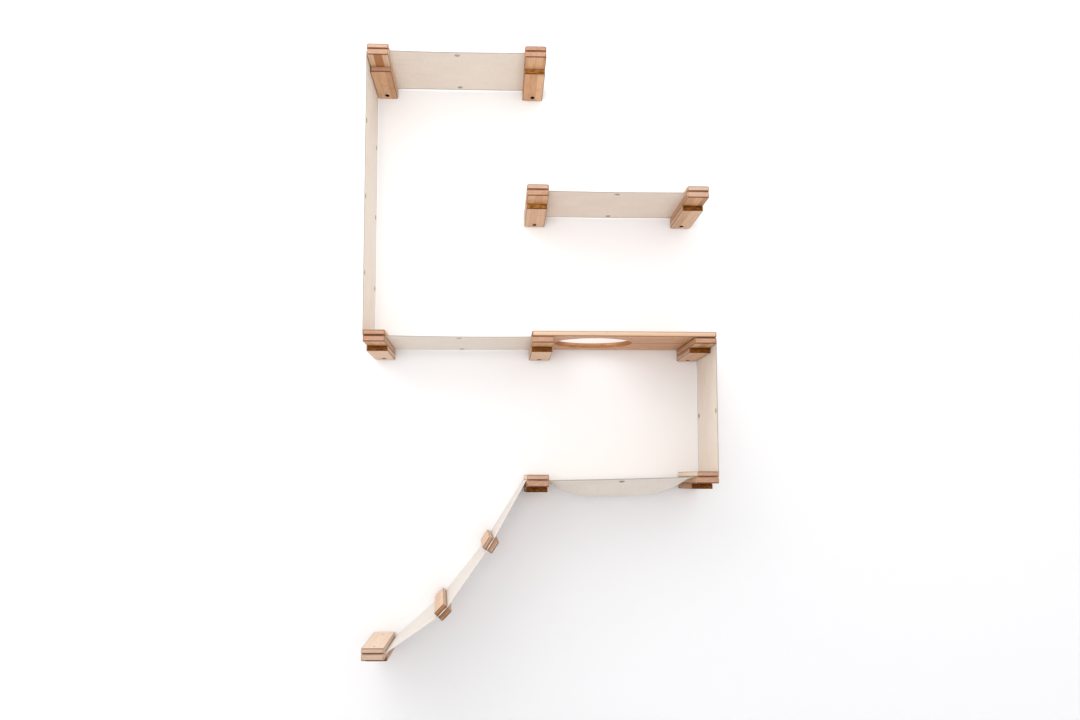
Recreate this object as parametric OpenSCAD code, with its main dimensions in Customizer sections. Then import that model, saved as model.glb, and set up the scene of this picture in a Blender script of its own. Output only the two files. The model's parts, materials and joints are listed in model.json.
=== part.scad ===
// Wall-mounted climbing set for cats: bamboo brackets clamp canvas hammocks, upright canvas drops,
// a shelf with a round escape hatch, and a hanging canvas ramp with two rungs.
// Frame: X runs to the right along the wall, the wall is the plane Y = 0, the front faces -Y, Z is up.
// The origin is where the centre bracket's wall screw meets the wall. Millimetres.

/* [Bracket] */
// Depth of caps and rails, from the wall to the front end
bracket_depth = 279.4; // [240:0.1:320]
// Width of every bracket along the wall
bracket_w = 55; // [48:0.5:64]
// Thickness of the cap that clamps the canvas
cap_t = 13; // [10:0.1:18]
// Thickness of the rail under the canvas
rail_t = 15.2; // [12:0.1:20]
// Thickness of the block under the rail
block_t = 13.8; // [11:0.1:18]
// How far the block's front end stands back from the rail's front end
block_setback = 79; // [50:1:110]
// Corner radius of the planks, seen from above
plank_corner_r = 6; // [2:0.5:10]
// Rounding of the planks' long edges
plank_edge_r = 2; // [0.8:0.1:4]

/* [Wall screw hole] */
// Diameter of the slanted wall screw hole
wall_hole_d = 8.3; // [6:0.1:9]
// Distance of the hole's lower mouth from the wall
wall_hole_inset = 26; // [22:0.5:30]
// Rise of the hole towards the wall, in degrees
wall_hole_angle = 35; // [30:1:38]

/* [Layout on the wall] */
// Distance between neighbouring columns of brackets, which hang on the wall's studs
column_span = 406.4; // [395:0.1:420]
// Top left bracket, from the left column
top_left_shift = -12.1; // [-16:0.1:0]
// Top right bracket, from the centre column
top_right_shift = -20; // [-24:0.5:0]
// Height of the top row above the centre bracket
top_row_z = 727; // [680:1:780]
// Side hammock's left bracket, from the centre column
side_left_shift = -13.5; // [-24:0.5:10]
// Side hammock's right bracket, from the right column
side_right_shift = -17.4; // [-24:0.1:10]
// Height of the side hammock above the centre bracket
side_row_z = 369; // [330:1:410]
// Middle left bracket, from the left column
middle_left_shift = -8.1; // [-16:0.1:0]
// Middle right bracket, from the right column
middle_right_shift = -4.4; // [-10:0.1:10]
// Lounge hammock's left bracket, from the centre column
lounge_left_shift = -12.5; // [-20:0.5:0]
// Lounge hammock's right bracket, from the right column
lounge_right_shift = -3.9; // [-10:0.1:10]
// Height of the lounge hammock's left bracket
lounge_left_z = -352; // [-365:1:-335]
// Height of the lounge hammock's right bracket
lounge_right_z = -343; // [-365:1:-325]
// Bracket at the foot of the ramp, from the left column
ramp_foot_shift = 2.9; // [-8:0.1:12]
// Height of the ramp's foot bracket
ramp_foot_z = -761; // [-775:1:-745]

/* [Canvas] */
// Thickness of the hemmed canvas, which is also the clamping gap
canvas_t = 1.3; // [0.9:0.1:2]
// How far the canvas's front edge stands back from the brackets' front ends
canvas_front_gap = 10.9; // [4:0.1:18]
// Gap between the canvas and the wall
canvas_wall_gap = 3.5; // [2:0.5:6]
// Sag of the taut hammocks at mid-span
hammock_sag = 1; // [1:0.5:12]
// Depth of the lounge hammock's pouch
lounge_sag = 44; // [20:1:60]
// Fullness of the pouch along the wall: low for a bowl, high for steep ends and a flat bottom
pouch_fullness_x = 3.6; // [2:0.1:4]
// Softness of the pouch's front and wall lips: 1 for a lip that drops at once, 2 for one that starts level
pouch_lip = 1.5; // [1:0.05:2]
// Space between an upright canvas and the planks that it passes
drop_clearance = 0.3; // [0.2:0.1:1]
// Gap between two canvas ends inside one clamp
tab_gap = 1; // [0.5:0.1:3]

/* [Hatch shelf] */
// Thickness of the shelf
shelf_t = 13; // [10:0.1:20]
// Diameter of the escape hatch
hatch_d = 200; // [150:1:210]
// Distance of the hatch's centre from the centre bracket
hatch_x = 135; // [132:1:260]
// Chamfer round the hatch, on both faces
hatch_chamfer = 1.5; // [0.5:0.1:3]

/* [Ramp] */
// Width of a rung along the ramp
rung_w = 34; // [28:0.5:46]
// Thickness of a rung's upper slat, the tread
tread_t = 12; // [9:0.1:16]
// Thickness of a rung's lower slat, the backer
backer_t = 14.5; // [11:0.1:17]
// How far the rungs' front ends stand back from the brackets' front ends, a little more than the canvas
rung_front_gap = 12; // [4:0.1:20]
// Gap between the rungs and the wall
rung_wall_gap = 6.4; // [4:0.1:12]
// Corner radius of the slats, seen from above
rung_corner_r = 6; // [2:0.5:9]
// Rounding of the slats' outer long edges
rung_edge_r = 3; // [1:0.1:4]
// Share of the ramp's chord at which the upper rung hangs
rung_1_share = 0.329; // [0.3:0.001:0.36]
// Share of the ramp's chord at which the lower rung hangs
rung_2_share = 0.698; // [0.66:0.001:0.72]
// Drop of the upper rung below the ramp's chord
rung_1_drop = 31.6; // [26:0.1:38]
// Drop of the lower rung below the ramp's chord
rung_2_drop = 45.1; // [38:0.1:50]
// How much higher the upper rung's wall end hangs than its front end
rung_1_lift = 9.5; // [0:0.5:16]
// How much higher the lower rung's wall end hangs than its front end
rung_2_lift = 20; // [0:0.5:26]
// Gap between a canvas stretch and the rung that it folds against
fold_gap = 0.4; // [0.3:0.1:0.8]
// Gap between the ramp's highest canvas end and the tab in the bracket above it
top_gap = 1.5; // [1.2:0.1:2]
// Gap between the ramp's lowest canvas end and the tab in the foot bracket
foot_gap = 0.9; // [0.6:0.1:1.5]

/* [Eyelets] */
// Outer diameter of an eyelet's rim
eyelet_od = 14; // [10:0.5:18]
// Diameter of an eyelet's hole
eyelet_id = 6.4; // [4:0.1:9]
// Wall of an eyelet's barrel
eyelet_wall = 0.8; // [0.5:0.1:1.2]
// Height of an eyelet's rim above the canvas
eyelet_rim_t = 1.1; // [0.7:0.1:1.8]
// Distance of the eyelets from the canvas's edges
eyelet_inset = 20; // [12:1:40]
// Distance between eyelets down the left drop
drop_eyelet_pitch = 195; // [160:1:220]
// Play between an eyelet's barrel and the canvas
eyelet_play = 0.1; // [0.05:0.05:0.3]

/* [Screws] */
// Shank diameter of the clamping screws
screw_d = 4; // [3:0.1:5]
// Head diameter of the clamping screws
screw_head_d = 8; // [7:0.1:9.6]
// Height of a countersunk head
screw_head_h = 2.4; // [1.8:0.1:3]
// Length of the cap screws
cap_screw_len = 25; // [20:0.5:27]
// Length of the rung screws
rung_screw_len = 22; // [17:0.5:23]
// Length of a screw's point
screw_point = 4; // [2:0.5:6]
// Diameter of a screw's tip
screw_tip_d = 1.2; // [0.6:0.1:2]
// Distance of the front cap screw from the front end
screw_front_inset = 30; // [20:1:60]
// Distance of the rear cap screw from the wall
screw_wall_inset = 44; // [40:1:70]
// Distance of a rung's screws from its ends
rung_screw_inset = 30; // [20:1:60]
// Play round a screw, on the radius
screw_play = 0.1; // [0.05:0.05:0.3]

/* [Hidden] */
$fn = 48;

// Colours of the real materials
bamboo = "#DDB08A";
bamboo_end = "#B07A4E";
cotton = "#EDE3D5";
nickel = "#A9A49C";
zinc = "#8E8B86";

// Bracket positions on the wall, each the place of its wall screw, as [x, z]
top_left = [top_left_shift - column_span, top_row_z];
top_right = [top_right_shift, top_row_z];
side_left = [side_left_shift, side_row_z];
side_right = [column_span + side_right_shift, side_row_z];
middle_left = [middle_left_shift - column_span, 0];
middle_centre = [0, 0];
middle_right = [column_span + middle_right_shift, 0];
lounge_left = [lounge_left_shift, lounge_left_z];
lounge_right = [column_span + lounge_right_shift, lounge_right_z];
ramp_foot = [ramp_foot_shift - column_span, ramp_foot_z];
capped_brackets = [
    top_left, top_right, side_left, side_right, middle_left, lounge_left, lounge_right, ramp_foot
];

// Heights above a bracket's wall screw
rail_bottom = block_t - wall_hole_inset * tan(wall_hole_angle);
rail_top = rail_bottom + rail_t;
canvas_mid = rail_top + canvas_t / 2;
cap_bottom = rail_top + canvas_t;

// Canvas edges and eyelet rows, along Y
canvas_back_y = -canvas_wall_gap;
canvas_front_y = canvas_front_gap - bracket_depth;
canvas_w = canvas_back_y - canvas_front_y;
eyelet_rows = [canvas_front_y + eyelet_inset, canvas_back_y - eyelet_inset];

// Tabs inside the clamps: half the bracket where two canvases meet, all of it where one is clamped
half_tab = (bracket_w - tab_gap) / 2;
full_tab = bracket_w - 2 * tab_gap;

// Cap screws, along Y
screw_ys = [-bracket_depth + screw_front_inset, -screw_wall_inset];

// A point on the canvas plane of a bracket, dx from the bracket's centre
function clamp_point(bracket, dx) = bracket + [dx, canvas_mid];

// Unit vector and its left-hand normal in the XZ plane
function unit(v) = v / norm(v);
function left_normal(v) = [-v[1], v[0]];

// Mitred offset direction at one point of a path
function miter(path, i) =
    let (
        before = unit(path[max(i, 1)] - path[max(i, 1) - 1]),
        after = unit(path[min(i, len(path) - 2) + 1] - path[min(i, len(path) - 2)]),
        mean = unit(left_normal(before) + left_normal(after))
    )
    mean / (mean * left_normal(before));

// Path moved sideways by a distance
function shifted(path, d) = [for (i = [0:len(path) - 1]) path[i] + d * miter(path, i)];

// Shallow parabola from a to b, without its two ends. Its steps are odd in number, so that the middle
// one is level and holds the eyelets
sag_steps = 13;
function sagging(a, b, sag) =
    [for (i = [1:sag_steps - 1]) let (u = i / sag_steps) a + (b - a) * u - [0, 4 * sag * u * (1 - u)]];

// Middle of the canvas between two brackets, on the level step of its sag
function mid_span(a, b, sag) =
    let (
        points = sagging(clamp_point(a, bracket_w / 2), clamp_point(b, -bracket_w / 2), sag),
        i = (sag_steps - 1) / 2
    )
    (points[i - 1] + points[i]) / 2;

// Plank with rounded corners in plan and rounded long edges; it lies along -Y from the wall plane,
// centred on X, its underside at Z = 0
module plank(width, depth, thick, corner_r, edge_r) {
    intersection() {
        linear_extrude(thick) translate([-width / 2, -depth]) rounded_rectangle([width, depth], corner_r);
        rotate([90, 0, 0]) linear_extrude(depth)
            translate([-width / 2, 0]) rounded_rectangle([width, thick], edge_r);
    }
}

// Rectangle from the origin with four true arcs at its corners
module rounded_rectangle(size, r) {
    translate([r, 0]) square([size[0] - 2 * r, size[1]]);
    translate([0, r]) square([size[0], size[1] - 2 * r]);
    for (x = [r, size[0] - r], y = [r, size[1] - r]) translate([x, y]) circle(r);
}

// Moves a bracket's pieces to its wall screw
module on_bracket(bracket) {
    translate([bracket[0], 0, bracket[1]]) children();
}

// Slanted wall screw hole, cut through rail and block; its axis meets the wall at the wall screw
module wall_hole() {
    reach = wall_hole_inset / cos(wall_hole_angle) + wall_hole_d * 2;
    rotate([90 + wall_hole_angle, 0, 0]) translate([0, 0, -wall_hole_d * 2])
        cylinder(h = reach + wall_hole_d * 2, d = wall_hole_d);
}

// Countersunk screw, head up, its top at Z = 0; with play it is the hole that the screw needs
module screw(length, play = 0) {
    rotate_extrude() polygon(concat(
        play > 0 ? [[0, play], [screw_head_d / 2 + play, play]] : [[0, 0]],
        [[screw_head_d / 2 + play, 0], [screw_d / 2 + play, -screw_head_h]],
        [[screw_d / 2 + play, screw_point - length], [screw_tip_d / 2 + play, -length - play]],
        [[0, -length - play]]
    ));
}

// The two screws of one cap, from the top face of the plank that they hold
module bracket_screws(top_z, play = 0) {
    for (y = screw_ys) translate([0, y, top_z]) screw(cap_screw_len, play);
}

// Cap, rail and block of one bracket
module cap(bracket) {
    color(bamboo) on_bracket(bracket) difference() {
        translate([0, 0, cap_bottom]) plank(bracket_w, bracket_depth, cap_t, plank_corner_r, plank_edge_r);
        bracket_screws(cap_bottom + cap_t, screw_play);
    }
}

module rail(bracket, board_t = cap_t) {
    color(bamboo) on_bracket(bracket) difference() {
        translate([0, 0, rail_bottom])
            plank(bracket_w, bracket_depth, rail_t, plank_corner_r, plank_edge_r);
        bracket_screws(cap_bottom + board_t, screw_play);
        wall_hole();
    }
}

module block(bracket) {
    color(bamboo_end) on_bracket(bracket) difference() {
        translate([0, 0, rail_bottom - block_t])
            plank(bracket_w, bracket_depth - block_setback, block_t, plank_corner_r, plank_edge_r);
        wall_hole();
    }
}

module top_left_cap() cap(top_left);
module top_left_rail() rail(top_left);
module top_left_block() block(top_left);
module top_right_cap() cap(top_right);
module top_right_rail() rail(top_right);
module top_right_block() block(top_right);
module side_left_cap() cap(side_left);
module side_left_rail() rail(side_left);
module side_left_block() block(side_left);
module side_right_cap() cap(side_right);
module side_right_rail() rail(side_right);
module side_right_block() block(side_right);
module middle_left_cap() cap(middle_left);
module middle_left_rail() rail(middle_left);
module middle_left_block() block(middle_left);
module middle_centre_rail() rail(middle_centre, shelf_t);
module middle_centre_block() block(middle_centre);
module middle_right_rail() rail(middle_right, shelf_t);
module middle_right_block() block(middle_right);
module lounge_left_cap() cap(lounge_left);
module lounge_left_rail() rail(lounge_left);
module lounge_left_block() block(lounge_left);
module lounge_right_cap() cap(lounge_right);
module lounge_right_rail() rail(lounge_right);
module lounge_right_block() block(lounge_right);
module ramp_foot_cap() cap(ramp_foot);
module ramp_foot_rail() rail(ramp_foot);
module ramp_foot_block() block(ramp_foot);

// Shelf across the centre and middle right brackets, with the escape hatch
module hatch_shelf() {
    shelf_len = middle_right[0] - middle_centre[0] + bracket_w;
    color(bamboo) difference() {
        translate([(middle_centre[0] + middle_right[0]) / 2, 0, cap_bottom])
            plank(shelf_len, bracket_depth, shelf_t, plank_corner_r, plank_edge_r);
        translate([hatch_x, -bracket_depth / 2, cap_bottom]) hatch_cut();
        for (bracket = [middle_centre, middle_right])
            on_bracket(bracket) bracket_screws(cap_bottom + shelf_t, screw_play);
    }
}

// Round hatch with a chamfer at both faces; each chamfer's cone runs on past its face
module hatch_cut() {
    r = hatch_d / 2;
    flare = r + hatch_chamfer * 2;
    rotate_extrude($fn = 96) polygon([
        [0, -hatch_chamfer], [flare, -hatch_chamfer], [r, hatch_chamfer],
        [r, shelf_t - hatch_chamfer], [flare, shelf_t + hatch_chamfer], [0, shelf_t + hatch_chamfer]
    ]);
}

// Canvas drawn as a path in the XZ plane, as wide as the canvas
module canvas_ribbon(path) {
    upper = shifted(path, canvas_t / 2);
    lower = shifted(path, -canvas_t / 2);
    translate([0, canvas_back_y, 0]) rotate([90, 0, 0]) linear_extrude(canvas_w)
        polygon(concat(upper, [for (i = [len(path) - 1:-1:0]) lower[i]]));
}

// Holes that the cap screws need in a canvas
module canvas_screw_holes(bracket) {
    on_bracket(bracket) for (y = screw_ys)
        translate([0, y, rail_top - canvas_t]) cylinder(h = canvas_t * 3, r = screw_d / 2 + screw_play);
}

// Level hammock with its eyelet holes
module hammock(a, b, tab_a, tab_b) {
    start = clamp_point(a, bracket_w / 2);
    end = clamp_point(b, -bracket_w / 2);
    color(cotton) difference() {
        canvas_ribbon(concat(
            [start - [tab_a, 0], start],
            sagging(start, end, hammock_sag),
            [end, end + [tab_b, 0]]
        ));
        canvas_screw_holes(a);
        canvas_screw_holes(b);
        level_eyelets(a, b, eyelet_play);
    }
}

// Eyelet, axis along Z, its canvas centred on Z = 0: a barrel through the canvas and a domed rim on
// each face; with play it is the hole that the barrel needs
eyelet_barrel_r = eyelet_id / 2 + eyelet_wall;
module eyelet(play = 0) {
    barrel_h = canvas_t + 2 * eyelet_rim_t;
    if (play > 0) {
        translate([0, 0, -canvas_t * 2]) cylinder(h = canvas_t * 4, r = eyelet_barrel_r + play);
    } else {
        rotate_extrude() {
            translate([eyelet_id / 2, -barrel_h / 2]) square([eyelet_wall, barrel_h]);
            for (side = [0, 1]) mirror([0, side])
                translate([eyelet_barrel_r, canvas_t / 2]) eyelet_rim_section();
        }
    }
}

// Section of one rim: full height at the barrel, falling in an arc to the canvas at the rim's edge
module eyelet_rim_section() {
    width = eyelet_od / 2 - eyelet_barrel_r;
    radius = (pow(width, 2) + pow(eyelet_rim_t, 2)) / (2 * eyelet_rim_t);
    intersection() {
        translate([0, eyelet_rim_t - radius]) circle(radius, $fn = 96);
        square([width, eyelet_rim_t]);
    }
}

// What the rims press out of a curved canvas, so that they sit flat on it
module eyelet_seat() {
    for (side = [0, 1]) mirror([0, 0, side])
        translate([0, 0, canvas_t / 2]) cylinder(h = canvas_t * 2, r = eyelet_od / 2 + eyelet_play);
}

// The pair of eyelets at the middle of a level hammock
module level_eyelets(a, b, play = 0) {
    place = mid_span(a, b, hammock_sag);
    for (y = eyelet_rows) translate([place[0], y, place[1]]) eyelet(play);
}

module top_hammock() hammock(top_left, top_right, half_tab, full_tab);
module middle_hammock() hammock(middle_left, middle_centre, half_tab, half_tab);
module side_hammock() hammock(side_left, side_right, full_tab, full_tab);

module top_hammock_eyelets() color(nickel) level_eyelets(top_left, top_right);
module middle_hammock_eyelets() color(nickel) level_eyelets(middle_left, middle_centre);
module side_hammock_eyelets() color(nickel) level_eyelets(side_left, side_right);

// Upright canvas outside two brackets; side is -1 on the left and 1 on the right
drop_offset = bracket_w / 2 + drop_clearance + canvas_t / 2;
function drop_path(upper, lower, side) = [
    clamp_point(upper, side * (bracket_w / 2 - half_tab)),
    clamp_point(upper, side * drop_offset),
    upper + [side * drop_offset, rail_bottom - block_t],
    lower + [side * drop_offset, cap_bottom + cap_t],
    clamp_point(lower, side * drop_offset),
    clamp_point(lower, side * (bracket_w / 2 - half_tab))
];

// Places children on an upright canvas, share of the way down between its two free ends
module on_drop(upper, lower, side, share) {
    top = upper + [side * drop_offset, rail_bottom - block_t];
    bottom = lower + [side * drop_offset, cap_bottom + cap_t];
    place = top + (bottom - top) * share;
    lean = atan2(bottom[0] - top[0], top[1] - bottom[1]);
    translate([place[0], 0, place[1]]) rotate([0, -lean, 0]) rotate([0, 90, 0]) children();
}

module drop_eyelets(upper, lower, side, shares, play = 0) {
    for (share = shares, y = eyelet_rows)
        on_drop(upper, lower, side, share) translate([0, y, 0]) eyelet(play);
}

module drop(upper, lower, side, shares) {
    color(cotton) difference() {
        canvas_ribbon(drop_path(upper, lower, side));
        canvas_screw_holes(upper);
        canvas_screw_holes(lower);
        drop_eyelets(upper, lower, side, shares, eyelet_play);
    }
}

// Eyelets of the drops, as shares of the way down: three pairs on the left one, a pair on the right one
left_drop_free = top_row_z + rail_bottom - block_t - cap_bottom - cap_t;
left_drop_shares = [for (i = [-1:1]) 0.5 + i * drop_eyelet_pitch / left_drop_free];
right_drop_shares = [0.5];

module left_drop() drop(top_left, middle_left, -1, left_drop_shares);
module right_drop() drop(middle_right, lounge_right, 1, right_drop_shares);
module left_drop_pair(i) color(nickel) drop_eyelets(top_left, middle_left, -1, [left_drop_shares[i]]);
module left_drop_upper_eyelets() left_drop_pair(0);
module left_drop_middle_eyelets() left_drop_pair(1);
module left_drop_lower_eyelets() left_drop_pair(2);
module right_drop_eyelets() color(nickel) drop_eyelets(middle_right, lounge_right, 1, right_drop_shares);

// Lounge hammock: its front and wall edges are taut, and between them the cloth sags into a pouch
lounge_start = clamp_point(lounge_left, bracket_w / 2);
lounge_end = clamp_point(lounge_right, -bracket_w / 2);
pouch_steps = [18, 12];
lounge_us = concat([-1], [for (i = [0:pouch_steps[0]]) i / pouch_steps[0]], [2]);
lounge_vs = [for (i = [0:pouch_steps[1]]) i / pouch_steps[1]];

// Depth of the pouch, u along the wall and v from the front edge to the wall edge
function pouch(u, v) =
    (hammock_sag + (lounge_sag - hammock_sag) * pow(sin(180 * v), pouch_lip))
    * (1 - pow(abs(2 * u - 1), pouch_fullness_x));

// Point of the cloth's middle surface; u below 0 or above 1 is the end of a tab
function lounge_point(u, v) =
    let (
        y = canvas_front_y + canvas_w * v,
        line = lounge_start + (lounge_end - lounge_start) * min(max(u, 0), 1),
        place = u < 0 ? lounge_start - [half_tab, 0] : u > 1 ? lounge_end + [half_tab, 0]
            : line - [0, pouch(u, v)]
    )
    [place[0], y, place[1]];

// Closed cloth from a grid of points, thickened along Z
module cloth(grid, thick) {
    rows = len(grid);
    cols = len(grid[0]);
    half = [0, 0, thick / 2];
    points = concat([for (row = grid, p = row) p + half], [for (row = grid, p = row) p - half]);
    below = rows * cols;
    top_faces = [for (i = [0:rows - 2], j = [0:cols - 2]) let (k = i * cols + j)
        each [[k, k + 1, k + cols + 1], [k, k + cols + 1, k + cols]]];
    edge = concat(
        [for (j = [0:cols - 1]) j],
        [for (i = [1:rows - 1]) i * cols + cols - 1],
        [for (j = [cols - 2:-1:0]) (rows - 1) * cols + j],
        [for (i = [rows - 2:-1:1]) i * cols]
    );
    sides = [for (i = [0:len(edge) - 1]) let (a = edge[i], b = edge[(i + 1) % len(edge)])
        each [[a, a + below, b + below], [a, b + below, b]]];
    bottom_faces = [for (f = top_faces) [f[0] + below, f[2] + below, f[1] + below]];
    polyhedron(points, concat(top_faces, bottom_faces, sides));
}

// Middle line of the lounge, across the pouch
function lounge_middle(y) = lounge_point(0.5, (y - canvas_front_y) / canvas_w);

// The lounge's eyelets, each square to the slope of the cloth under it
module lounge_eyelets(play = 0) {
    for (y = eyelet_rows) {
        rise = lounge_middle(y + eyelet_od / 2)[2] - lounge_middle(y - eyelet_od / 2)[2];
        translate(lounge_middle(y)) rotate([atan2(rise, eyelet_od), 0, 0]) {
            eyelet(play);
            if (play > 0) eyelet_seat();
        }
    }
}

module lounge_hammock() {
    color(cotton) difference() {
        cloth([for (u = lounge_us) [for (v = lounge_vs) lounge_point(u, v)]], canvas_t);
        canvas_screw_holes(lounge_left);
        canvas_screw_holes(lounge_right);
        lounge_eyelets(eyelet_play);
    }
}

module lounge_hammock_eyelets() color(nickel) lounge_eyelets();

// Ramp: its chord runs between the two clamps, and each rung hangs below the chord and lies along
// the line between its two neighbours
ramp_top = clamp_point(lounge_left, -bracket_w / 2 - canvas_t);
ramp_bottom = clamp_point(ramp_foot, bracket_w / 2 + canvas_t);
ramp_chord = ramp_bottom - ramp_top;
ramp_down = -left_normal(unit(ramp_chord));
function hangs(share, drop) = ramp_top + ramp_chord * share - ramp_down * drop;
rung_1_place = hangs(rung_1_share, rung_1_drop);
rung_2_place = hangs(rung_2_share, rung_2_drop);
rung_1_uphill = unit(ramp_top - rung_2_place);
rung_2_uphill = unit(rung_1_place - ramp_bottom);

// A rung's frame: X uphill along the canvas, Y from the brackets' front ends towards the wall, Z out of
// the canvas's upper face. Its slats end at rung_end
rung_end = bracket_depth - rung_wall_gap;
rung_len = rung_end - rung_front_gap;
function rung_skew(lift) = asin(lift / rung_end);
module on_rung(place, uphill, lift) {
    translate([place[0], -bracket_depth, place[1]])
        rotate([0, -atan2(uphill[1], uphill[0]), 0]) rotate([rung_skew(lift), 0, 0]) children();
}

// Point on a rung's canvas plane, dx uphill of its middle, at the world's Y
function rung_point(place, uphill, lift, dx, y) =
    place + uphill * dx + left_normal(uphill) * (y + bracket_depth) * tan(rung_skew(lift));

// Canvas between two straight lines, each given by its points at the front and the wall edge
module ruled_canvas(front_a, back_a, front_b, back_b) {
    half = canvas_t / 2;
    front_n = left_normal(unit(front_b - front_a)) * half;
    back_n = left_normal(unit(back_b - back_a)) * half;
    function at(p, y) = [p[0], y, p[1]];
    points = [
        at(front_a + front_n, canvas_front_y), at(front_b + front_n, canvas_front_y),
        at(back_b + back_n, canvas_back_y), at(back_a + back_n, canvas_back_y),
        at(front_a - front_n, canvas_front_y), at(front_b - front_n, canvas_front_y),
        at(back_b - back_n, canvas_back_y), at(back_a - back_n, canvas_back_y)
    ];
    upper = [[0, 1, 2], [0, 2, 3]];
    lower = [[4, 6, 5], [4, 7, 6]];
    sides = [for (i = [0:3]) let (j = (i + 1) % 4) each [[i, i + 4, j + 4], [i, j + 4, j]]];
    polyhedron(points, concat(upper, lower, sides));
}

edge_out = rung_w / 2 + fold_gap;
function rung_1_edge(side, y) = rung_point(rung_1_place, rung_1_uphill, rung_1_lift, side * edge_out, y);
function rung_2_edge(side, y) = rung_point(rung_2_place, rung_2_uphill, rung_2_lift, side * edge_out, y);
ramp_top_edge = ramp_top + unit(rung_1_edge(1, canvas_front_y) - ramp_top) * top_gap / 2;
ramp_bottom_edge = ramp_bottom + unit(rung_2_edge(-1, canvas_front_y) - ramp_bottom) * foot_gap / 2;

module ramp_upper_canvas() {
    color(cotton) ruled_canvas(
        rung_1_edge(1, canvas_front_y), rung_1_edge(1, canvas_back_y),
        ramp_top_edge, ramp_top_edge
    );
}

module ramp_middle_canvas() {
    color(cotton) ruled_canvas(
        rung_2_edge(1, canvas_front_y), rung_2_edge(1, canvas_back_y),
        rung_1_edge(-1, canvas_front_y), rung_1_edge(-1, canvas_back_y)
    );
}

module ramp_lower_canvas() {
    color(cotton) ruled_canvas(
        ramp_bottom_edge, ramp_bottom_edge,
        rung_2_edge(-1, canvas_front_y), rung_2_edge(-1, canvas_back_y)
    );
}

// The ramp's two ends, clamped in the lounge's left bracket and in the foot bracket
module ramp_end_tabs() {
    color(cotton) difference() {
        union() {
            canvas_ribbon([
                ramp_top + [top_gap / 2, 0], clamp_point(lounge_left, half_tab - bracket_w / 2)
            ]);
            canvas_ribbon([
                clamp_point(ramp_foot, bracket_w / 2 - full_tab), ramp_bottom - [foot_gap / 2, 0]
            ]);
        }
        canvas_screw_holes(lounge_left);
        canvas_screw_holes(ramp_foot);
    }
}

// Slat of a rung, its clamped face at Z = 0 and its outer long edges rounded
module slat(thick) {
    translate([0, rung_end, 0]) intersection() {
        linear_extrude(thick) translate([-rung_w / 2, -rung_len])
            rounded_rectangle([rung_w, rung_len], rung_corner_r);
        rotate([90, 0, 0]) linear_extrude(rung_len) translate([-rung_w / 2, -thick])
            intersection() {
                rounded_rectangle([rung_w, thick * 2], rung_edge_r);
                translate([0, thick]) square([rung_w, thick]);
            }
    }
}

// Screws of one rung, driven up through its backer
module rung_screws(play = 0) {
    for (y = [rung_front_gap + rung_screw_inset, rung_end - rung_screw_inset])
        translate([0, y, -canvas_t / 2 - backer_t]) mirror([0, 0, 1]) screw(rung_screw_len, play);
}

module tread() {
    color(bamboo) difference() {
        translate([0, 0, canvas_t / 2]) slat(tread_t);
        rung_screws(screw_play);
    }
}

module backer() {
    color(bamboo_end) difference() {
        mirror([0, 0, 1]) translate([0, 0, canvas_t / 2]) slat(backer_t);
        rung_screws(screw_play);
    }
}

module strip(lift) {
    front = (canvas_front_y + bracket_depth) / cos(rung_skew(lift));
    color(cotton) difference() {
        translate([-rung_w / 2, front, -canvas_t / 2]) cube([rung_w, canvas_w, canvas_t]);
        rung_screws(screw_play);
    }
}

module on_rung_1() on_rung(rung_1_place, rung_1_uphill, rung_1_lift) children();
module on_rung_2() on_rung(rung_2_place, rung_2_uphill, rung_2_lift) children();
module rung_1_tread() on_rung_1() tread();
module rung_1_backer() on_rung_1() backer();
module rung_1_strip() on_rung_1() strip(rung_1_lift);
module rung_1_screws() color(zinc) on_rung_1() rung_screws();
module rung_2_tread() on_rung_2() tread();
module rung_2_backer() on_rung_2() backer();
module rung_2_strip() on_rung_2() strip(rung_2_lift);
module rung_2_screws() color(zinc) on_rung_2() rung_screws();

module cap_screws() {
    color(zinc) for (bracket = capped_brackets) on_bracket(bracket) bracket_screws(cap_bottom + cap_t);
}

module shelf_screws() {
    color(zinc) for (bracket = [middle_centre, middle_right])
        on_bracket(bracket) bracket_screws(cap_bottom + shelf_t);
}

top_left_cap();
top_left_rail();
top_left_block();
top_right_cap();
top_right_rail();
top_right_block();
side_left_cap();
side_left_rail();
side_left_block();
side_right_cap();
side_right_rail();
side_right_block();
middle_left_cap();
middle_left_rail();
middle_left_block();
middle_centre_rail();
middle_centre_block();
middle_right_rail();
middle_right_block();
lounge_left_cap();
lounge_left_rail();
lounge_left_block();
lounge_right_cap();
lounge_right_rail();
lounge_right_block();
ramp_foot_cap();
ramp_foot_rail();
ramp_foot_block();
hatch_shelf();
top_hammock();
left_drop();
middle_hammock();
side_hammock();
right_drop();
lounge_hammock();
ramp_upper_canvas();
ramp_middle_canvas();
ramp_lower_canvas();
ramp_end_tabs();
rung_1_tread();
rung_1_backer();
rung_1_strip();
rung_1_screws();
rung_2_tread();
rung_2_backer();
rung_2_strip();
rung_2_screws();
top_hammock_eyelets();
left_drop_upper_eyelets();
left_drop_middle_eyelets();
left_drop_lower_eyelets();
middle_hammock_eyelets();
side_hammock_eyelets();
right_drop_eyelets();
lounge_hammock_eyelets();
cap_screws();
shelf_screws();
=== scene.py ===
"""Finishes of a wall-mounted climbing set for cats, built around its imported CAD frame.

Everything is in metres in the frame's own axes: +X runs to the right along the wall, +Y into the wall
and +Z up, and the origin is where the centre bracket's wall screw meets the wall. Bamboo brackets, slats
and the hatch shelf get eased edges and laminated grain, and every canvas is a hemmed and stitched sheet
that is clamped between two planks.
"""

import json
import logging
import math
from dataclasses import dataclass, field, replace
from enum import Enum
from functools import partial
from typing import Callable, Iterable, Sequence

import bpy
import numpy as np
from mathutils import Matrix, Vector

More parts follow.
